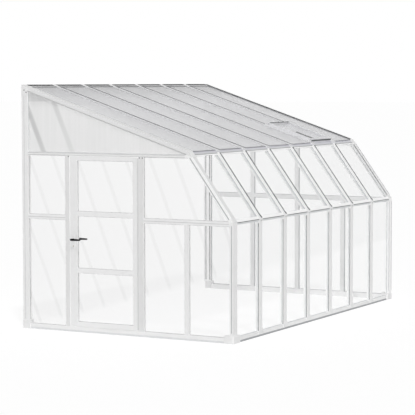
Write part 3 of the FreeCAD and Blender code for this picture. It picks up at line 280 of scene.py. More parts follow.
# Knee rail, ridge beam and gutter: the three long profiles that run from end to end along the bends.
# Extruded PVC; the gutter is a grey trough whose lip stands under the roof's lower edge. Its underside
# is painted near white, painted light in its shade, and the knee rail is painted brighter: painted light.
# Below this height the gutter is painted near white: painted light on its shaded underside.
gutter_underside = 1.930
pvc_gutter = extruded_pvc("extruded_grey_pvc_gutter", 0.0, "#FBFBFB", "#F6F6F6", along_front=True,
                          outer=("Z", gutter_underside), inside="#D1D1D6")
# The knee rail is painted brighter than the other white PVC: painted light.
pvc_knee = extruded_pvc("extruded_bright_pvc_knee", 0.0, "#F6F6F6", "#F0F0F0", along_front=True)
finish_nodes(pvc_along_front, "ridge_beam")
finish_nodes(pvc_knee, "knee_rail")
finish_nodes(pvc_gutter, "eave_gutter")

# Slope bars and slope rails: the slanted part of the front, from the knee up to the eave.
# White PVC bars in line with the mullions, the two rails mitred to the corner posts.
slope_run = 0.527
slope_climb = 0.721
slope_rise = math.atan2(slope_climb, slope_run)
pvc_up_slope = extruded_pvc("extruded_white_pvc_up_slope", slope_rise, "#F3F3F3", "#ECECEC")
# The slope rails keep the pale tone only within 4 to 7 mm of the door end's outer face: a painted highlight
# along the edge of the left rail. The rest of both rails is painted a darker tone.
pvc_slope_rail = extruded_pvc("extruded_pale_pvc_slope_rail", slope_rise, "#F2F2F2", "#ECECEC",
                              outer=("X", left_face), inside="#DADADA")
finish_nodes(pvc_up_slope, "slope_bars")
finish_nodes(pvc_slope_rail, "left_slope_rail", "right_slope_rail")

# Roof bars and end rafters: pale grey bars and white rafters of PVC from the eave up to the ridge.
# The roof panels lie in their grooves; the two end rafters also hold the gables.
knee_height = span("left_corner_post", "Z")[1]
ridge_height = span("ridge_beam", "Z")[1]
eave_place = front_face + slope_run
eave_height = knee_height + slope_climb
roof_rise = math.atan2(ridge_height - eave_height, house_face - eave_place)
pvc_up_roof = extruded_pvc("extruded_white_pvc_up_roof", roof_rise, "#E4E4E4", "#DCDCDC")
pvc_roof_bar = extruded_pvc("extruded_pale_pvc_roof_bar", roof_rise, "#DCDCDE", "#D4D4D6")
finish_nodes(pvc_up_roof, "left_end_rafter", "right_end_rafter")
finish_nodes(pvc_roof_bar, "roof_bars")

# End wall rails: white PVC bars across the two ends, between the posts and the jambs.
# Cut square or along the slanted front and screwed through the posts.
# Behind the door end's outer face the rails are painted near white: painted light against the shade on their
# sides.
pvc_along_end = extruded_pvc("extruded_white_pvc_along_end", 0.0, "#EDEDED", "#E4E4E4",
                             outer=("X", left_face))
# The mid rails of the far right end are painted darker: painted shade on the same PVC.
pvc_far_rail = extruded_pvc("extruded_grey_pvc_rail_shade_side", 0.0, "#E4E4E4", "#DCDCDC")
finish_nodes(pvc_along_end, "top_rails", "left_mid_rails")
finish_nodes(pvc_far_rail, "right_mid_rails")

# Panes: clear acrylic sheet 4 mm thick, let into the grooves of the bars on all four edges.
# Cast acrylic is nearly invisible face on; it greys a little and the gloss shows at a slant.
# Painted shadows: slanting streaks for the roof bars' shadows, in the end panes; painted light below a line
# near the floor.
shadow_streak_pitch = 0.281
shadow_streak_lean = math.radians(-22)
floor_line_low = 0.34
floor_line_high = 0.42
floor_line_slant = 0.29
floor_line_share = 0.6


def wave_scale(pitch):
    """The scale at which the lines of a wave pattern stand that far apart."""
    return math.pi / 10 / pitch


def acrylic(name, veil, sheen_share, tint, shadow_streak_veil=0.0):
    """Clear acrylic: alpha is a thin veil, more where the sheen catches and along slanting painted shadows
    of the roof bars. Below a slanting line near the floor the veil thins and the painted shadows stop:
    painted light where the brighter floor shows through."""
    material, place = new_material(name)
    lean = add_node(material, "Mapping", {"vector_type": "TEXTURE"},
                    {"Vector": place, "Rotation": (shadow_streak_lean, 0, 0)})
    wave = add_node(material, "TexWave", {"bands_direction": "Y"},
                    {"Vector": lean.outputs["Vector"], "Scale": wave_scale(shadow_streak_pitch),
                     "Distortion": 0.4, "Detail": 1.0, "Detail Scale": 0.6})
    streak = add_node(material, "MapRange", {},
                      {"Value": wave.outputs["Fac"], "From Min": 0.9, "From Max": 1.0,
                       "To Min": 0.0, "To Max": shadow_streak_veil})
    spot = add_node(material, "SeparateXYZ", {}, {"Vector": place})
    height = add_node(material, "Math", {"operation": "MULTIPLY_ADD"},
                      {0: spot.outputs["Y"], 1: floor_line_slant, 2: spot.outputs["Z"]})
    above_floor_line = add_node(material, "MapRange", {},
                    {"Value": height.outputs["Value"], "From Min": floor_line_low, "From Max": floor_line_high})
    sheen = add_node(material, "Fresnel", {}, {"IOR": 1.49})
    veil_and_sheen = add_node(material, "Math", {"operation": "MULTIPLY_ADD"},
                    {0: sheen.outputs["Fac"], 1: sheen_share, 2: veil})
    floor_veil = add_node(material, "Math", {"operation": "MULTIPLY"},
                      {0: veil_and_sheen.outputs["Value"], 1: floor_line_share})
    total = add_node(material, "Math", {"operation": "MULTIPLY_ADD"},
                     {0: veil_and_sheen.outputs["Value"], 1: 1 - floor_line_share, 2: streak.outputs["Result"]})
    alpha = add_node(material, "Math", {"operation": "MULTIPLY_ADD", "use_clamp": True},
                     {0: total.outputs["Value"], 1: above_floor_line.outputs["Result"], 2: floor_veil.outputs["Value"]})
    shader = add_node(material, "BsdfPrincipled", {},
                      {"Base Color": linear(tint), "Roughness": 0.06, "IOR": 1.49,
                       "Alpha": alpha.outputs["Value"]})
    add_node(material, "OutputMaterial", {}, {"Surface": shader.outputs["BSDF"]})
    return material


front_acrylic = acrylic("clear_acrylic_front", 0.032, 0.05, "#BABCBC")
slope_acrylic = acrylic("clear_acrylic_slope", 0.045, 0.05, "#BABCBC")
# The end panes carry the painted shadow streaks.
end_acrylic = acrylic("clear_acrylic_end", 0.0445, 0.17, "#7B7D7D", shadow_streak_veil=0.034)
finish_nodes(front_acrylic, "front_panes", "right_wall_panes")
finish_nodes(slope_acrylic, "slope_panes")
finish_nodes(end_acrylic, "left_wall_panes", "door_panes")

# Roof and gable sheets: twin-wall polycarbonate, extruded with ribs between two thin skins.
# Milky grey; the ribs run down the roof and upright in the gables and show as fine lines.
rib_pitch = 0.018
flow_width = 0.07
flow_length = 1.2
# Painted shadows of the roof bars: slanting dark bands near the house, in the gables.
shadow_band_pitch = 0.338
shadow_band_lean = math.radians(-23.5)
shadow_band_place = (0, 1.080, 2.260)
shadow_band_from = 0.42
shadow_band_full = 1.20


def twin_wall(name, colour, rib_colour, alpha, rise, rib_axis, ridge_shade_share=0.0, ridge_shade_span=(2.46, 2.63),
              shadow_band_share=0.0):
    """Twin-wall sheet; the real ribs are 6 mm apart and are drawn 18 mm apart so that they show.
    Under the ridge the tone is painted darker, painted shade, and near the house slanting bands are
    painted darker: painted shadows of the roof bars."""
    material, place = new_material(name)
    spot = add_node(material, "SeparateXYZ", {}, {"Vector": place})
    ribs = add_node(material, "TexWave", {"bands_direction": rib_axis},
                    {"Vector": place, "Scale": wave_scale(rib_pitch)})
    rib = add_node(material, "MapRange", {},
                   {"Value": ribs.outputs["Fac"], "From Min": 0.55, "From Max": 0.95, "To Max": 0.5})
    lie = add_node(material, "Mapping", {"vector_type": "TEXTURE"},
                   {"Vector": place, "Rotation": (rise, 0, 0),
                    "Scale": (flow_width, flow_length, flow_width)})
    flow = add_node(material, "TexNoise", {},
                    {"Vector": lie.outputs["Vector"], "Scale": 1.0, "Detail": 2.0})
    streak = add_node(material, "MapRange", {},
                      {"Value": flow.outputs["Fac"], "From Min": 0.3, "From Max": 0.7,
                       "To Min": 0.0, "To Max": 0.5})
    milky = add_node(material, "Mix", {"data_type": "RGBA"},
                     {0: streak.outputs["Result"], 6: linear(colour), 7: linear(rib_colour)})
    lined = add_node(material, "Mix", {"data_type": "RGBA"},
                     {0: rib.outputs["Result"], 6: milky.outputs[2], 7: linear(rib_colour)})
    ridge_shade = add_node(material, "MapRange", {"interpolation_type": "SMOOTHSTEP"},
                     {"Value": spot.outputs["Z"], "From Min": ridge_shade_span[0], "From Max": ridge_shade_span[1],
                      "To Min": 0.0, "To Max": ridge_shade_share})
    ridge_shaded = add_node(material, "Mix", {"data_type": "RGBA"},
                     {0: ridge_shade.outputs["Result"], 6: lined.outputs[2], 7: linear("#8E8E90")})
    lean = add_node(material, "Mapping", {"vector_type": "TEXTURE"},
                    {"Vector": place, "Location": shadow_band_place, "Rotation": (shadow_band_lean, 0, 0)})
    bands = add_node(material, "TexWave", {"bands_direction": "Y"},
                     {"Vector": lean.outputs["Vector"], "Scale": wave_scale(shadow_band_pitch),
                      "Phase Offset": math.pi / 2})
    band = add_node(material, "MapRange", {"interpolation_type": "SMOOTHSTEP"},
                    {"Value": bands.outputs["Fac"], "From Min": 0.86, "From Max": 1.0})
    near_house = add_node(material, "MapRange", {},
                          {"Value": spot.outputs["Y"], "From Min": shadow_band_from, "From Max": shadow_band_full,
                           "To Min": 0.0, "To Max": shadow_band_share})
    dark = add_node(material, "Math", {"operation": "MULTIPLY"},
                    {0: band.outputs["Result"], 1: near_house.outputs["Result"]})
    shadow_banded = add_node(material, "Mix", {"data_type": "RGBA"},
                      {0: dark.outputs["Value"], 6: ridge_shaded.outputs[2], 7: linear("#8A8A8A")})
    relief = add_node(material, "Bump", {},
                      {"Height": ribs.outputs["Fac"], "Strength": 0.2, "Distance": 0.001})
    shader = add_node(material, "BsdfPrincipled", {},
                      {"Base Color": shadow_banded.outputs[2], "Roughness": 0.24, "IOR": 1.585,
                       "Alpha": alpha, "Normal": relief.outputs["Normal"]})
    add_node(material, "OutputMaterial", {}, {"Surface": shader.outputs["BSDF"]})
    return material


# On the roof the painted shade comes in smoothly under the ridge; on the gables it starts sharply at the
# ridge beam's underside, for the beam seen through, with the painted shadow bands.
roof_sheet = twin_wall("twin_wall_polycarbonate_roof", "#D6D6D8", "#CBCBCD", 0.72, roof_rise, "X",
                       ridge_shade_share=0.45)
vent_sheet = twin_wall("twin_wall_polycarbonate_vent", "#D6D6D8", "#CBCBCD", 0.15, roof_rise, "X")
gable_sheet = twin_wall("twin_wall_polycarbonate_gable", "#E6E6E6", "#DADADA", 0.62, upright, "Y",
                        ridge_shade_share=0.3, ridge_shade_span=(2.470, 2.486), shadow_band_share=0.5)
finish_nodes(roof_sheet, "roof_panels")
finish_nodes(vent_sheet, "vent_panel")
finish_nodes(gable_sheet, "gable_panels")

# Pane gaskets: wedges of grey thermoplastic rubber pressed in between each pane and its bars.
# They run all round the daylight opening, on the outer and on the room side of the pane.
# This grey rubber also paints the shade under the knee nose.
grey_gasket_rubber_and_shade = seal_rubber("grey_thermoplastic_rubber", "#CDCFD0", "#D7D9DA")
gasket_width = 0.004
gasket_edge = 0.0015
gasket_rise = 0.0045


def pane_gasket(name, corners, out, material, body="frame"):
    """Model one gasket round an opening, on the pane's face that looks the way of out."""
    bpy.ops.object.select_all(action="DESELECT")
    bpy.ops.mesh.primitive_circle_add(vertices=len(corners), fill_type="NGON")
    piece = bpy.context.object
    piece.name = piece.data.name = name
    for vertex, corner in zip(piece.data.vertices, corners):
        vertex.co = corner
    bpy.ops.object.mode_set(mode="EDIT")
    bpy.ops.mesh.select_all(action="SELECT")
    bpy.ops.mesh.inset(thickness=gasket_width)
    bpy.ops.mesh.delete(type="FACE")
    bpy.ops.mesh.select_all(action="SELECT")
    bpy.ops.mesh.extrude_region_move(TRANSFORM_OT_translate={"value": out * gasket_edge})
    mesh = bmesh.from_edit_mesh(piece.data)
    for vertex in mesh.verts:
        vertex.select_set(min((vertex.co - corner - out * gasket_edge).length for corner in corners) < 1e-5)
    mesh.select_flush(True)
    bmesh.update_edit_mesh(piece.data)
    bpy.ops.transform.translate(value=out * (gasket_rise - gasket_edge))
    bpy.ops.mesh.select_all(action="SELECT")
    bpy.ops.mesh.normals_make_consistent(inside=False)
    bpy.ops.object.mode_set(mode="OBJECT")
    hand_in(piece, material, body)
    return piece


def copy_piece(piece, name, move):
    """Copy a finished piece of the frame, with a mesh of its own, moved to its place."""
    twin = piece.copy()
    twin.data = piece.data.copy()
    twin.name = twin.data.name = name
    bpy.context.scene.collection.objects.link(twin)
    twin.data.transform(move)
    hand_in(twin, piece.data.materials[0], "frame")


bay_count = 7
last_bay = bay_count - 1
edge_line = 0.030
bay_pitch = (right_face - left_face - 2 * edge_line) / bay_count
bar_width = 0.072
corner_width = span("left_corner_post", "X")[1] - left_face
glass_outer, glass_inner = [y - front_face for y in span("front_panes", "Y")]
knee_leg = 0.030
gutter_leg = 0.046
knee_point = at(0, front_face, knee_height)
eave_point = at(0, eave_place, eave_height)
slope_up = at(0, math.cos(slope_rise), math.sin(slope_rise))
slope_out = at(0, -slope_up.z, slope_up.y)
slope_length = (eave_point - knee_point).length


def repeat_at_bars(steps, *pieces, slot="dark_seal"):
    """Copy pieces to bars that many bays further on; the numbers that end their names go up with them."""
    for step in steps:
        for piece in pieces:
            stem, number = piece.name.rsplit("_", 1)
            move = Matrix.Translation(at(step * bay_pitch))
            copy_piece(piece, f"{stem}_{int(number) + step}", move)


def bar_middle(index):
    """Where the middle of a bar stands along the front; the door end counts as bar 0."""
    return left_face + edge_line + index * bay_pitch


def bay_edges(bay, clear=0.0):
    """The daylight of a front bay, between the sides of its two bars, less a clearance."""
    near = corner_width - edge_line if bay == 0 else bar_width / 2
    far = corner_width - edge_line if bay == last_bay else bar_width / 2
    return at(bar_middle(bay) + near + clear), at(bar_middle(bay + 1) - far - clear)


def on_slope(distance):
    """The point of the slanted front that far up from the knee."""
    return knee_point + slope_up * distance


sill_top = span("front_sill", "Z")[1]
knee_underside = span("knee_rail", "Z")[0]
for side, depth, facing in (("outer", glass_outer, -1), ("inner", glass_inner, 1)):
    front_low, front_high = [at(0, front_face + depth, z) for z in (sill_top, knee_underside)]
    slope_low = on_slope(knee_leg) - slope_out * depth
    slope_high = on_slope(slope_length - gutter_leg) - slope_out * depth
    for wall, low, high, out in (("front", front_low, front_high, at(y=facing)),
                                 ("slope", slope_low, slope_high, slope_out * -facing)):
        for bay in (0, 1, last_bay):
            near, far = bay_edges(bay)
            corners = [low + near, low + far, high + far, high + near]
            made = pane_gasket(f"{wall}_gasket_{side}_{bay + 1}", corners, out, grey_gasket_rubber_and_shade)
            if bay == 1:
                repeat_at_bars(range(1, last_bay - 1), made)

# End wall gaskets: the same wedges, a little darker, round the panes of the two ends and the gables.
# The upper panes at the front and the gables follow the slanted rail and the rafter.
rubber_pale = seal_rubber("pale_thermoplastic_rubber", "#B8B8B8", "#C4C4C4")
rubber_gable = seal_rubber("grey_rubber_gable_seal", "#B0B2B3", "#BCBEBF")
mid_low, mid_high = span("left_mid_rails", "Z")
top_low, top_high = span("top_rails", "Z")
latch_edge = span("latch_jamb", "Y")[1]
hinge_edge = span("hinge_jamb", "Y")[0]
mullion_front, mullion_back = span("left_lower_mullion", "Y")
corner_edge = span("left_corner_post", "Y")[1]
gable_front = -0.742
rafter_depth = 0.046
roof_up = at(0, math.cos(roof_rise), math.sin(roof_rise))


def slope_edge(height):
    """Where the slanted rail's inner face stands at that height."""
    rail_run = (corner_edge - front_face) / slope_up.z
    return front_face + rail_run + (height - knee_height) / math.tan(slope_rise)


def rafter_under(y):
    """Height of the rafter's underside above that point of the end wall."""
    return eave_height + (y - eave_place) * math.tan(roof_rise) - rafter_depth / roof_up.y


def upright_opening(back, front, low, high):
    """A square opening of an end wall, from its back edge to its front edge."""
    return [(back, low), (front, low), (front, high), (back, high)]


def slanted_opening(back):
    """An upper opening whose front edge follows the slanted rail."""
    return [(back, mid_high), (slope_edge(mid_high), mid_high), (slope_edge(top_low), top_low),
            (back, top_low)]


gable_opening = [(post_edge, top_high), (gable_front, top_high), (post_edge, rafter_under(post_edge))]
left_openings = [upright_opening(post_edge, latch_edge, sill_top, mid_low),
                 upright_opening(post_edge, latch_edge, mid_high, top_low),
                 upright_opening(hinge_edge, mullion_back, sill_top, mid_low),
                 upright_opening(mullion_front, corner_edge, sill_top, mid_low),
                 slanted_opening(hinge_edge), gable_opening]
right_bays = 4
right_mullion = mullion_back - mullion_front
right_pitch = (post_edge - corner_edge + right_mullion) / right_bays
right_backs = [post_edge - bay * right_pitch for bay in range(right_bays)]
right_sides = [(back, back - right_pitch + right_mullion) for back in right_backs]
right_openings = [upright_opening(*sides, sill_top, mid_low) for sides in right_sides]
right_openings += [upright_opening(*sides, mid_high, top_low) for sides in right_sides[:2]]
right_openings += [slanted_opening(right_backs[2]), gable_opening]
for (name, face, way), openings in zip(end_walls, (left_openings, right_openings)):
    for number, opening in enumerate(openings, 1):
        for side, depth, facing in (("outer", glass_outer, way), ("inner", glass_inner, -way)):
            corners = [at(face - way * depth, y, z) for y, z in opening]
            rubber = rubber_gable if opening is gable_opening else rubber_pale
            # At the far right end the gaskets are painted darker still: painted shade.
            rubber = grey_rubber_and_shade if name == "right" else rubber
            pane_gasket(f"{name}_gasket_{side}_{number}", corners, at(facing), rubber)

# Bar seals: dark rubber strips let into the edges of the bars, where the caps close on the panes.
# They run up the slope bars, the roof bars and the mullions, along the ridge beam and, with a paler
# apron below them, under the nose of the knee rail in every bay. Many are painted shade: the strips
# along one edge of the slope and roof bars stand for their shadows, the thick strips at the mullion
# heads for the shade under the knee covers, and the strip and apron under the knee nose for the shade
# there.
dark_rubber_and_shade = seal_rubber("dark_rubber_strip", "#4A4C4E", "#585A5C")
# This black rubber keeps almost no gloss, so that the strips that paint shade stay dark at a slant.
black_rubber_and_shade = seal_rubber("weathered_rubber_strip", "#3A3B3D", "#464749", 0.05)
roof_out = at(0, -roof_up.z, roof_up.y)
roof_length = (at(0, house_face, ridge_height) - eave_point).length


def on_roof(distance):
    """The point of the roof that far up from the eave."""
    return eave_point + roof_up * distance


other_bars = range(1, last_bay)
edge = bar_width / 2
first = bar_middle(1)
slope_seal_width = 0.020
roof_seal_width = 0.022
seal_outer = at(first + edge - 0.001)
seal_inner = at(first + edge - slope_seal_width)
seal_thick = 0.002
seal_foot_thick = 0.0075
brim_depths = (0.011, 0.019)
brim_thick = 0.0012
foot = on_slope(0.006)
low = on_slope(0.034)
high = on_slope(slope_length - gutter_leg - 0.002)
# Painted shadow: the dark strip lies along one edge of each slope bar only, thicker at its foot.
made = seal_strip("slope_bar_seal_1", (low, high), (seal_inner, seal_outer), slope_out, seal_thick,
                  dark_rubber_and_shade)
brim_edges = [at(first - edge) - slope_out * depth for depth in brim_depths]
brim = seal_strip("slope_bar_edge_1", (low, high), brim_edges, at(-1), brim_thick, grey_rubber_and_shade)
tail = seal_strip("slope_bar_seal_foot_1", (foot, low), (seal_inner, seal_outer), slope_out,
                  seal_foot_thick, dark_rubber_and_shade)
repeat_at_bars(other_bars, made, tail, brim)

bars_clear_of_vent = 4
roof_seal_thick = 0.0015
seal_inner = at(first + edge - roof_seal_width)
low = on_roof(-0.030)
above_vent = on_roof(0.660)
high = on_roof(roof_length - 0.072)
# Painted shadow: a dark strip along one edge of each roof bar.
made = seal_strip("roof_bar_seal_1", (low, high), (seal_inner, seal_outer), roof_out, roof_seal_thick,
                  black_rubber_and_shade)
repeat_at_bars(range(1, bars_clear_of_vent), made)
made = seal_strip("roof_bar_seal_5", (above_vent, high), (seal_inner, seal_outer), roof_out,
                  roof_seal_thick, black_rubber_and_shade)
made.data.transform(Matrix.Translation(at(bars_clear_of_vent * bay_pitch)))
repeat_at_bars((1,), made)

mullion_seam_back = 0.007
mullion_seam_width = 0.006
mullion_seam_thick = 0.0012
mullion_head_thick = 0.003
low = at(z=0.061)
high = at(z=1.205)
head_foot = high * 0.965
# The thick dark strips at the mullion heads are painted shade under the knee covers.
for side, way in (("left", -1), ("right", 1)):
    near = at(first + way * edge, front_face + mullion_seam_back)
    far = near + at(y=mullion_seam_width)
    made = seal_strip(f"mullion_seam_{side}_1", (low, high), (near, far), at(way), mullion_seam_thick,
                      dark_rubber_and_shade)
    head = seal_strip(f"mullion_head_seal_{side}_1", (head_foot, high), (near, far), at(way),
                      mullion_head_thick, black_rubber_and_shade)
    repeat_at_bars(other_bars, made, head)

ridge_strip_ends = (on_roof(roof_length - 0.046), on_roof(roof_length - 0.006))
ridge_strip_clear = 0.002
knee_clear = 0.001
# Painted shade under the knee nose: a dark strip with a paler apron below it.
knee_strips = (("knee_seal", 1.241, 1.247, 0.0025, dark_rubber_and_shade),
               ("knee_apron", 1.2235, 1.2395, 0.0015, grey_gasket_rubber_and_shade))
for bay in range(bay_count):
    seal_strip(f"ridge_strip_{bay + 1}", ridge_strip_ends, bay_edges(bay, ridge_strip_clear), roof_out,
               roof_seal_thick, black_rubber_and_shade)
    for name, low, high, thickness, rubber in knee_strips:
        ends = (at(0, front_face, low), at(0, front_face, high))
        seal_strip(f"{name}_{bay + 1}", ends, bay_edges(bay, knee_clear), front_out, thickness, rubber)

# Corner seams: thin grey lines where the cover of each corner post and slope rail clips on.
# A bright white bead along the edge of the slope rails is a painted highlight; both are pressed in along
# the whole bar.
# This bright PVC also paints light: the highlight beads on the slope rails and the bead below the gutter.
bright_pvc_and_highlight = moulded_pvc("bright_white_pvc", "#F8F8F8", "#F3F3F3")
post_seam_ends = (at(z=0.110), at(z=1.215))
post_seam_back = 0.016
post_seam_width = 0.007
slope_seam_ends = (on_slope(0.050), on_slope(slope_length - 0.070))
slope_seam_depths = (0.020, 0.029)
seam_thick = 0.0012
bead_in = 0.001
bead_reach = 0.018
bead_thick = 0.002
for name, face, way in end_walls:
    near = at(face, front_face + post_seam_back)
    far = near + at(y=post_seam_width)
    seal_strip(f"{name}_corner_seam", post_seam_ends, (near, far), at(way), seam_thick, grey_rubber_and_shade)
    edges = [at(face) - slope_out * depth for depth in slope_seam_depths]
    seal_strip(f"{name}_slope_seam", slope_seam_ends, edges, at(way), seam_thick, grey_rubber_and_shade)
    edges = (at(face - way * bead_in), at(face - way * bead_reach))
    seal_strip(f"{name}_slope_bead", slope_seam_ends, edges, slope_out, bead_thick, bright_pvc_and_highlight)

# Eave trim: white heads of moulded PVC that clip over the gutter at each slope bar. Between them a grey
# rubber wiper with a darker lip lies along the foot of the gutter, with a white bead below it: painted
# light over the gutter's shaded underside.
gutter_foot = slope_length - gutter_leg + 0.0005
wiper_foot = on_slope(gutter_foot - 0.012)
wiper_top = on_slope(gutter_foot + 0.007)
lip_top = on_slope(gutter_foot - 0.005)
bead_foot = on_slope(gutter_foot - 0.025)
eave_strips = (("eave_bead", bead_foot, wiper_foot, 0.0012, bright_pvc_and_highlight, "frame_white"),
               ("gutter_wiper", wiper_foot, wiper_top, 0.0015, rubber_pale, "dark_seal"),
               ("gutter_lip", wiper_foot, lip_top, 0.0022, grey_rubber_and_shade, "dark_seal"))
for bay in range(bay_count):
    for name, low, high, thickness, material, slot in eave_strips:
        seal_strip(f"{name}_{bay + 1}", (low, high), bay_edges(bay), slope_out, thickness, material)
head_length = 0.030
head_thick = 0.004
made = seal_strip("slope_bar_head_1", (on_slope(gutter_foot), on_slope(gutter_foot + head_length)),
                  (at(first - edge), at(first + edge)), slope_out, head_thick, bright_pvc_and_highlight)
repeat_at_bars(other_bars, made, slot="frame_white")

# Far edge lines: grey and dark rubber strips along both edges of the right corner post and slope rail,
# and of the right wall post's room side, pressed into the grooves where the covers clip on.
line_in = 0.001
corner_line_ends = [end + at(y=front_face) for end in post_seam_ends]
far_lines = (("right_corner_line", corner_line_ends, 0.010, front_out, seam_thick, grey_rubber_and_shade),
             ("right_slope_line", slope_seam_ends, 0.013, slope_out, 0.0022, dark_rubber_and_shade))
for number in (1, 2):
    for name, ends, width, out, thickness, rubber in far_lines:
        start = right_face - corner_width + line_in if number == 1 else right_face - line_in - width
        seal_strip(f"{name}_{number}", ends, (at(start), at(start + width)), out, thickness, rubber)
post_inner = right_face - 0.060
room_line_ends = (at(z=0.110), at(z=2.480))
room_line_width = 0.008
for number, y in enumerate((house_face - 0.016, post_edge + 0.002), 1):
    edges = (at(post_inner, y), at(post_inner, y + room_line_width))
    seal_strip(f"right_post_line_{number}", room_line_ends, edges, at(-1), seam_thick, dark_rubber_and_shade)

# Rail lines: thin grey rubber strips near both edges of the rails under the gables, and along the
# middle of the rails at knee height. They lie in shallow grooves, where the covers of the rails clip on.
rail_line_width = 0.005
rail_line_thick = 0.001
rail_line_in = 0.0025
rail_line_clear = 0.002
rail_back = post_edge - rail_line_clear
top_line_front = -0.728
mid_line_front = front_face + 0.050
mid_line_low = 1.2285
top_lines = [("top_rail_line_lower", top_low + rail_line_in, rail_back, top_line_front),
             ("top_rail_line_upper", top_high - rail_line_in - rail_line_width, rail_back, top_line_front)]
left_lines = [("mid_rail_line_1", mid_line_low, rail_back, latch_edge + rail_line_clear),
              ("mid_rail_line_2", mid_line_low, hinge_edge - rail_line_clear, mid_line_front)]
right_lines = [("mid_rail_line_1", mid_line_low, rail_back, mid_line_front)]
for (name, face, way), mid_lines in zip(end_walls, (left_lines, right_lines)):
    for line, height, back, front in top_lines + mid_lines:
        ends = (at(z=height), at(z=height + rail_line_width))
        edges = (at(face, back), at(face, front))
        seal_strip(f"{name}_{line}", ends, edges, at(way), rail_line_thick, rubber_pale)

# Rafter seals: a grey strip in the step of each end rafter, over the top edge of the gable.
# The far rafter also has a dark strip along its roof edge: painted shade, for the rafter's shaded inner
# side.
rafter_step = 0.004
rafter_seal_thick = 0.003
rafter_seal_depths = (0.0455, 0.0375)
rafter_seal_reach = (0.010, roof_length - 0.092)
for name, face, way in end_walls:
    ends = [roof_out * -depth for depth in rafter_seal_depths]
    edges = [on_roof(distance) + at(face - way * rafter_step) for distance in rafter_seal_reach]
    seal_strip(f"{name}_rafter_seal", ends, edges, at(way), rafter_seal_thick, rubber_pale)
edge_strip_ends = (on_roof(0.004), on_roof(roof_length - 0.020))
edge_strip_sides = (at(right_face - corner_width + 0.002), at(right_face - 0.040))
seal_strip("right_roof_edge_strip", edge_strip_ends, edge_strip_sides, roof_out, roof_seal_thick,
           black_rubber_and_shade)

# Roof seals: weathered black rubber along the ridge, down the end rafters and over the panels' lower
# ends. Extruded, pressed into the gap between the panels and the bars.
rubber_roof = seal_rubber("black_rubber_roof_seal", "#747578", "#808184")
finish_nodes(rubber_roof, "roof_gaskets")

# Door leaf: stiles and rails of the same white PVC, with three clear panes and grey gaskets.
# The corners are welded; the leaf hangs in the left end and opens outwards.
finish_nodes(pvc_upright, "latch_stile", "hinge_stile")
finish_nodes(pvc_along_end, "door_rails")
door_glass_outer, door_glass_inner = span("door_panes", "X")
door_front, door_back = span("door_rails", "Y")
door_spans = ((0.112, 0.642), (0.692, 1.254), (1.304, 1.851))
for number, (low, high) in enumerate(door_spans, 1):
    for side, x, way in (("outer", door_glass_outer, -1), ("inner", door_glass_inner, 1)):
        corners = [at(x, y, z) for y, z in upright_opening(door_back, door_front, low, high)]
        pane_gasket(f"door_gasket_{side}_{number}", corners, at(way), rubber_pale, "door")

# Door hinge: a bead along the leaf that turns in a rolled socket on the jamb.
# Both are light grey PVC, extruded and cut a little shorter than the leaf.
pvc_hinge = extruded_pvc("extruded_grey_pvc_hinge", upright, "#D2D2D2", "#C8C8C8")
finish_nodes(pvc_hinge, "hinge_bead", "hinge_socket")

# Lock: a mortice case of zinc-plated steel with its latch, dead bolt, spindle and strike.
# Rolled steel under a thin bright plating, with a faint brushed line.
def tone_and_gloss(material, pattern, tones, gloss, inputs):
    """Close a material whose tone and roughness both follow one pattern."""
    tone = add_node(material, "Mix", {"data_type": "RGBA"},
                    {0: pattern.outputs["Fac"], 6: linear(tones[0]), 7: linear(tones[1])})
    rough = add_node(material, "MapRange", {},
                     {"Value": pattern.outputs["Fac"], "To Min": gloss[0], "To Max": gloss[1]})
    shader = add_node(material, "BsdfPrincipled", {},
                      {"Base Color": tone.outputs[2], "Roughness": rough.outputs["Result"], **inputs})
    add_node(material, "OutputMaterial", {}, {"Surface": shader.outputs["BSDF"]})


brush_width = 0.002
brush_length = 0.06
zinc_steel, place = new_material("zinc_plated_steel")
brush = add_node(zinc_steel, "Mapping", {"vector_type": "TEXTURE"},
                 {"Vector": place, "Scale": (brush_width, brush_width, brush_length)})
lines = add_node(zinc_steel, "TexNoise", {},
                 {"Vector": brush.outputs["Vector"], "Scale": 1.0, "Detail": 2.0})
tone_and_gloss(zinc_steel, lines, ("#C6C8CA", "#A9ACAF"), (0.26, 0.42), {"Metallic": 1.0})
finish_nodes(zinc_steel, "lock_case", "latch_bolt", "dead_bolt", "handle_spindle", "strike_plate")

# Handle plates and levers: white moulded plates on both faces of the latch stile.
# The levers are satin black nylon, moulded over the square spindle's ends.
finish_nodes(shoe_pvc, "handle_plates")
lever_grain = 0.0015
lever_nylon, place = new_material("satin_black_nylon")
grain = add_node(lever_nylon, "TexNoise", {}, {"Vector": place, "Scale": 1 / lever_grain, "Detail": 1.0})
tone_and_gloss(lever_nylon, grain, ("#020203", "#060607"), (0.42, 0.58),
               {"IOR": 1.53, "Specular IOR Level": 0.04})
finish_nodes(lever_nylon, "outer_lever", "inner_lever")

# Key cylinder: brass turned on a lathe and nickel plated, with the slotted plug in its middle.
# The turning leaves fine rings round the axis.
turning_pitch = 0.001
key_axis = [sum(span("key_plug", axis)) / 2 for axis in "YZ"]
nickel_brass, place = new_material("nickel_plated_brass")
centre = add_node(nickel_brass, "Mapping", {"vector_type": "POINT"},
                  {"Vector": place, "Location": (0, -key_axis[0], -key_axis[1])})
rings = add_node(nickel_brass, "TexWave", {"wave_type": "RINGS", "rings_direction": "X"},
                 {"Vector": centre.outputs["Vector"], "Scale": wave_scale(turning_pitch)})
tone_and_gloss(nickel_brass, rings, ("#D6D3CC", "#C3BFB6"), (0.2, 0.34), {"Metallic": 1.0})
finish_nodes(nickel_brass, "key_cylinder", "key_plug")

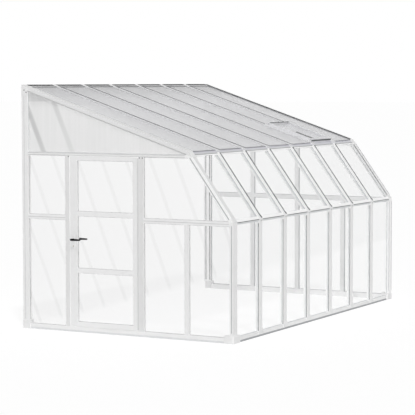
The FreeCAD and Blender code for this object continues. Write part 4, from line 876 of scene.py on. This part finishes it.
# Roof vent: a leaf of pale PVC bars over a curb between two roof bars, hung on a steel rod.
# Dark seals close its upper and lower edges.
finish_nodes(pvc_roof_bar, "vent_leaf_frame", "vent_curb")
finish_nodes(zinc_steel, "vent_hinge_rod")
vent_lap = 0.017
vent_from = bar_middle(5) + edge - vent_lap
vent_to = bar_middle(6) - edge + vent_lap
leaf_bottom = on_roof(0.012)
leaf_top = on_roof(0.622) + roof_out * 0.0305
lower_seal_clear = 0.004
lower_seal_thick = 0.003
lower_seal_heights = (0.004, 0.020)
ends = [leaf_bottom + roof_out * height for height in lower_seal_heights]
edges = (at(vent_from + lower_seal_clear), at(vent_to - lower_seal_clear))
seal_strip("vent_lower_seal", ends, edges, -roof_up, lower_seal_thick, dark_rubber_and_shade, body="vent")
upper_seal_near = 0.030
upper_seal_far = 0.010
upper_seal_sets = (0.026, 0.002)
ends = [leaf_top - roof_up * distance for distance in upper_seal_sets]
edges = (at(vent_from + upper_seal_near), at(vent_to - upper_seal_far))
seal_strip("vent_upper_seal", ends, edges, roof_out, seal_thick, dark_rubber_and_shade, body="vent")

# Vent stay: a bar of dark nylon with holes, on a pin under the leaf, with its bracket and peg.
# Moulded, with a fine grain; the stay folds flat under the leaf when the vent is shut.
stay_grain = 0.002
stay_nylon, place = new_material("dark_nylon_stay")
grain = add_node(stay_nylon, "TexNoise", {}, {"Vector": place, "Scale": 1 / stay_grain, "Detail": 2.0})
tone_and_gloss(stay_nylon, grain, ("#2A2B2D", "#3B3C3F"), (0.42, 0.6), {"IOR": 1.53})
finish_nodes(stay_nylon, "vent_stay", "stay_bracket", "stay_peg")

# Plugs: domed caps of dark nylon pressed over the fixing screws at the heads of the two jambs,
# on the knee covers, on the ridge caps and on the room side of the far wall post.
plug_radius = 0.006
plug_rise = 0.0012
dome_steps = ((0.3, 0.4), (0.35, 0.15))
bpy.ops.object.select_all(action="DESELECT")
bpy.ops.mesh.primitive_cylinder_add(vertices=24, radius=plug_radius, depth=plug_rise,
                                    location=(0, 0, plug_rise / 2))
plug = bpy.context.object
plug.name = plug.data.name = "latch_jamb_plug"
bpy.ops.object.transform_apply(location=True, rotation=True, scale=True)
bpy.ops.object.mode_set(mode="EDIT")
mesh = bmesh.from_edit_mesh(plug.data)
for face in mesh.faces:
    face.select_set(face.normal.z > 0.9)
mesh.select_flush(True)
bmesh.update_edit_mesh(plug.data)
for inset_share, rise_share in dome_steps:
    bpy.ops.mesh.inset(thickness=plug_radius * inset_share)
    bpy.ops.transform.translate(value=(0, 0, plug_rise * rise_share))
bpy.ops.mesh.select_all(action="SELECT")
bpy.ops.mesh.normals_make_consistent(inside=False)
bpy.ops.object.mode_set(mode="OBJECT")
hand_in(plug, stay_nylon, "frame")
to_left = Matrix.Rotation(math.radians(-90), 4, "Y")
to_right = Matrix.Rotation(math.radians(90), 4, "Y")
to_front = Matrix.Rotation(math.radians(90), 4, "X")
jamb_screw_height = 1.891
knee_screw_height = 1.232
ridge_cap_face = 0.004
knee_cover_face = 0.006
ridge_screws = ((1.262, 2.600), (1.236, 2.575))
places = [(f"hinge_jamb_plug_{number}", to_left, (left_face, y, jamb_screw_height))
          for number, y in enumerate((-0.183, -0.218), 1)]
for (name, face, way), turn in zip(end_walls, (to_left, to_right)):
    places += [(f"{name}_ridge_plug_{number}", turn, (face + way * ridge_cap_face, y, z))
               for number, (y, z) in enumerate(ridge_screws, 1)]
places += [(f"far_post_plug_{number}", to_left, (post_inner, y, knee_screw_height))
           for number, y in enumerate((1.288, 1.236), 1)]
places += [(f"knee_plug_{bar}", to_front, (bar_middle(bar), front_face - knee_cover_face, knee_screw_height))
           for bar in range(1, bay_count)]
for name, turn, place in places:
    copy_piece(plug, name, Matrix.Translation(place) @ turn)
plug.data.transform(Matrix.Translation((left_face, 0.700, jamb_screw_height)) @ to_left)

# Floor: a plain pale studio floor that runs on to the horizon and meets a white surround.
# It keeps the soft shadow of the sunroom and gives its light back from below.
def seen_directly(owner):
    """1 where the camera sees a surface, straight or by way of the panes, and 0 for the light it gives."""
    path = add_node(owner, "LightPath", {}, {})
    seen = add_node(owner, "Math", {"operation": "MAXIMUM"},
                    {0: path.outputs["Is Camera Ray"], 1: path.outputs["Is Glossy Ray"]})
    seen = add_node(owner, "Math", {"operation": "MAXIMUM"},
                    {0: seen.outputs["Value"], 1: path.outputs["Is Transmission Ray"]})
    return seen.outputs["Value"]


bpy.ops.object.select_all(action="DESELECT")
bpy.ops.mesh.primitive_plane_add(size=400.0)
floor = bpy.context.object
floor.name = "studio_floor"
floor_paint, _ = new_material("pale_studio_floor")
seen = seen_directly(floor_paint)
glow = add_node(floor_paint, "Math", {"operation": "MULTIPLY"}, {0: seen, 1: 0.785})
paint = add_node(floor_paint, "Mix", {"data_type": "RGBA"},
                 {0: seen, 6: linear("#EBEBEB"), 7: linear("#8E8E8E")})
shader = add_node(floor_paint, "BsdfPrincipled", {},
                  {"Base Color": paint.outputs[2], "Roughness": 0.9, "Specular IOR Level": 0.0,
                   "Emission Color": linear("#FFFFFF"), "Emission Strength": glow.outputs["Value"]})
add_node(floor_paint, "OutputMaterial", {}, {"Surface": shader.outputs["BSDF"]})
floor.data.materials.append(floor_paint)
floor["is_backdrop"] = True

# Light: an even white surround, a sun lamp from high on the door side, two fills without shadows, from
# in front and low from behind, and a soft lamp under the roof for the daylight that milky sheets pass.
world = bpy.data.worlds.new("studio_surround")
bpy.context.scene.world = world
world.use_nodes = True
world.node_tree.nodes.clear()
level = add_node(world, "MapRange", {}, {"Value": seen_directly(world), "To Min": 0.31, "To Max": 1.0})
surround = add_node(world, "Background", {},
                    {"Color": linear("#FFFFFF"), "Strength": level.outputs["Result"]})
add_node(world, "OutputWorld", {}, {"Surface": surround.outputs["Background"]})

key_spread = math.radians(3)
for name, energy, toward, shadows in (("soft_key", 0.65, at(-0.42, -0.34, 0.84), True),
                                      ("front_fill", 1.85, at(-0.70, -0.60, 0.40), False),
                                      ("back_fill", 0.8, at(0.70, 0.60, 0.10), False)):
    lamp = bpy.data.lights.new(name, "SUN")
    lamp.energy = energy
    lamp.use_shadow = shadows
    if shadows:
        lamp.angle = key_spread
    sun = bpy.data.objects.new(name, lamp)
    sun.rotation_euler = toward.to_track_quat("Z", "Y").to_euler()
    bpy.context.scene.collection.objects.link(sun)
lamp = bpy.data.lights.new("roof_daylight", "AREA")
lamp.shape = "RECTANGLE"
lamp.size = 3.6
lamp.size_y = 1.5
lamp.energy = 6.0
daylight = bpy.data.objects.new("roof_daylight", lamp)
daylight.location = (0, 0.35, 1.95)
daylight.visible_camera = False
daylight.visible_glossy = False
bpy.context.scene.collection.objects.link(daylight)

# Camera: a long lens at the height of the ridge, off the front corner of the door end.
# It stands about twenty metres away and looks down by four degrees.
heading = math.radians(61.70)
pitch = math.radians(-4.12)
roll = math.radians(-0.10)
stand = at(-17.7565, -9.422, 2.678)
forward = at(math.sin(heading) * math.cos(pitch), math.cos(heading) * math.cos(pitch), math.sin(pitch))
right = at(math.cos(heading), -math.sin(heading))
up = right.cross(forward)
lens = bpy.data.cameras.new("studio_camera")
lens.sensor_fit = "HORIZONTAL"
lens.sensor_width = 36.0
lens.lens = 150.41
lens.clip_end = 1000.0
camera = bpy.data.objects.new("studio_camera", lens)
turn = Matrix((right, up, -forward)).transposed().to_4x4()
camera.matrix_world = Matrix.Translation(stand) @ turn @ Matrix.Rotation(roll, 4, "Z")
bpy.context.scene.collection.objects.link(camera)
bpy.context.scene.camera = camera
bpy.context.scene.view_settings.view_transform = "Standard"

# Size: the box of the dressed model, in metres, without the floor.
low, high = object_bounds()
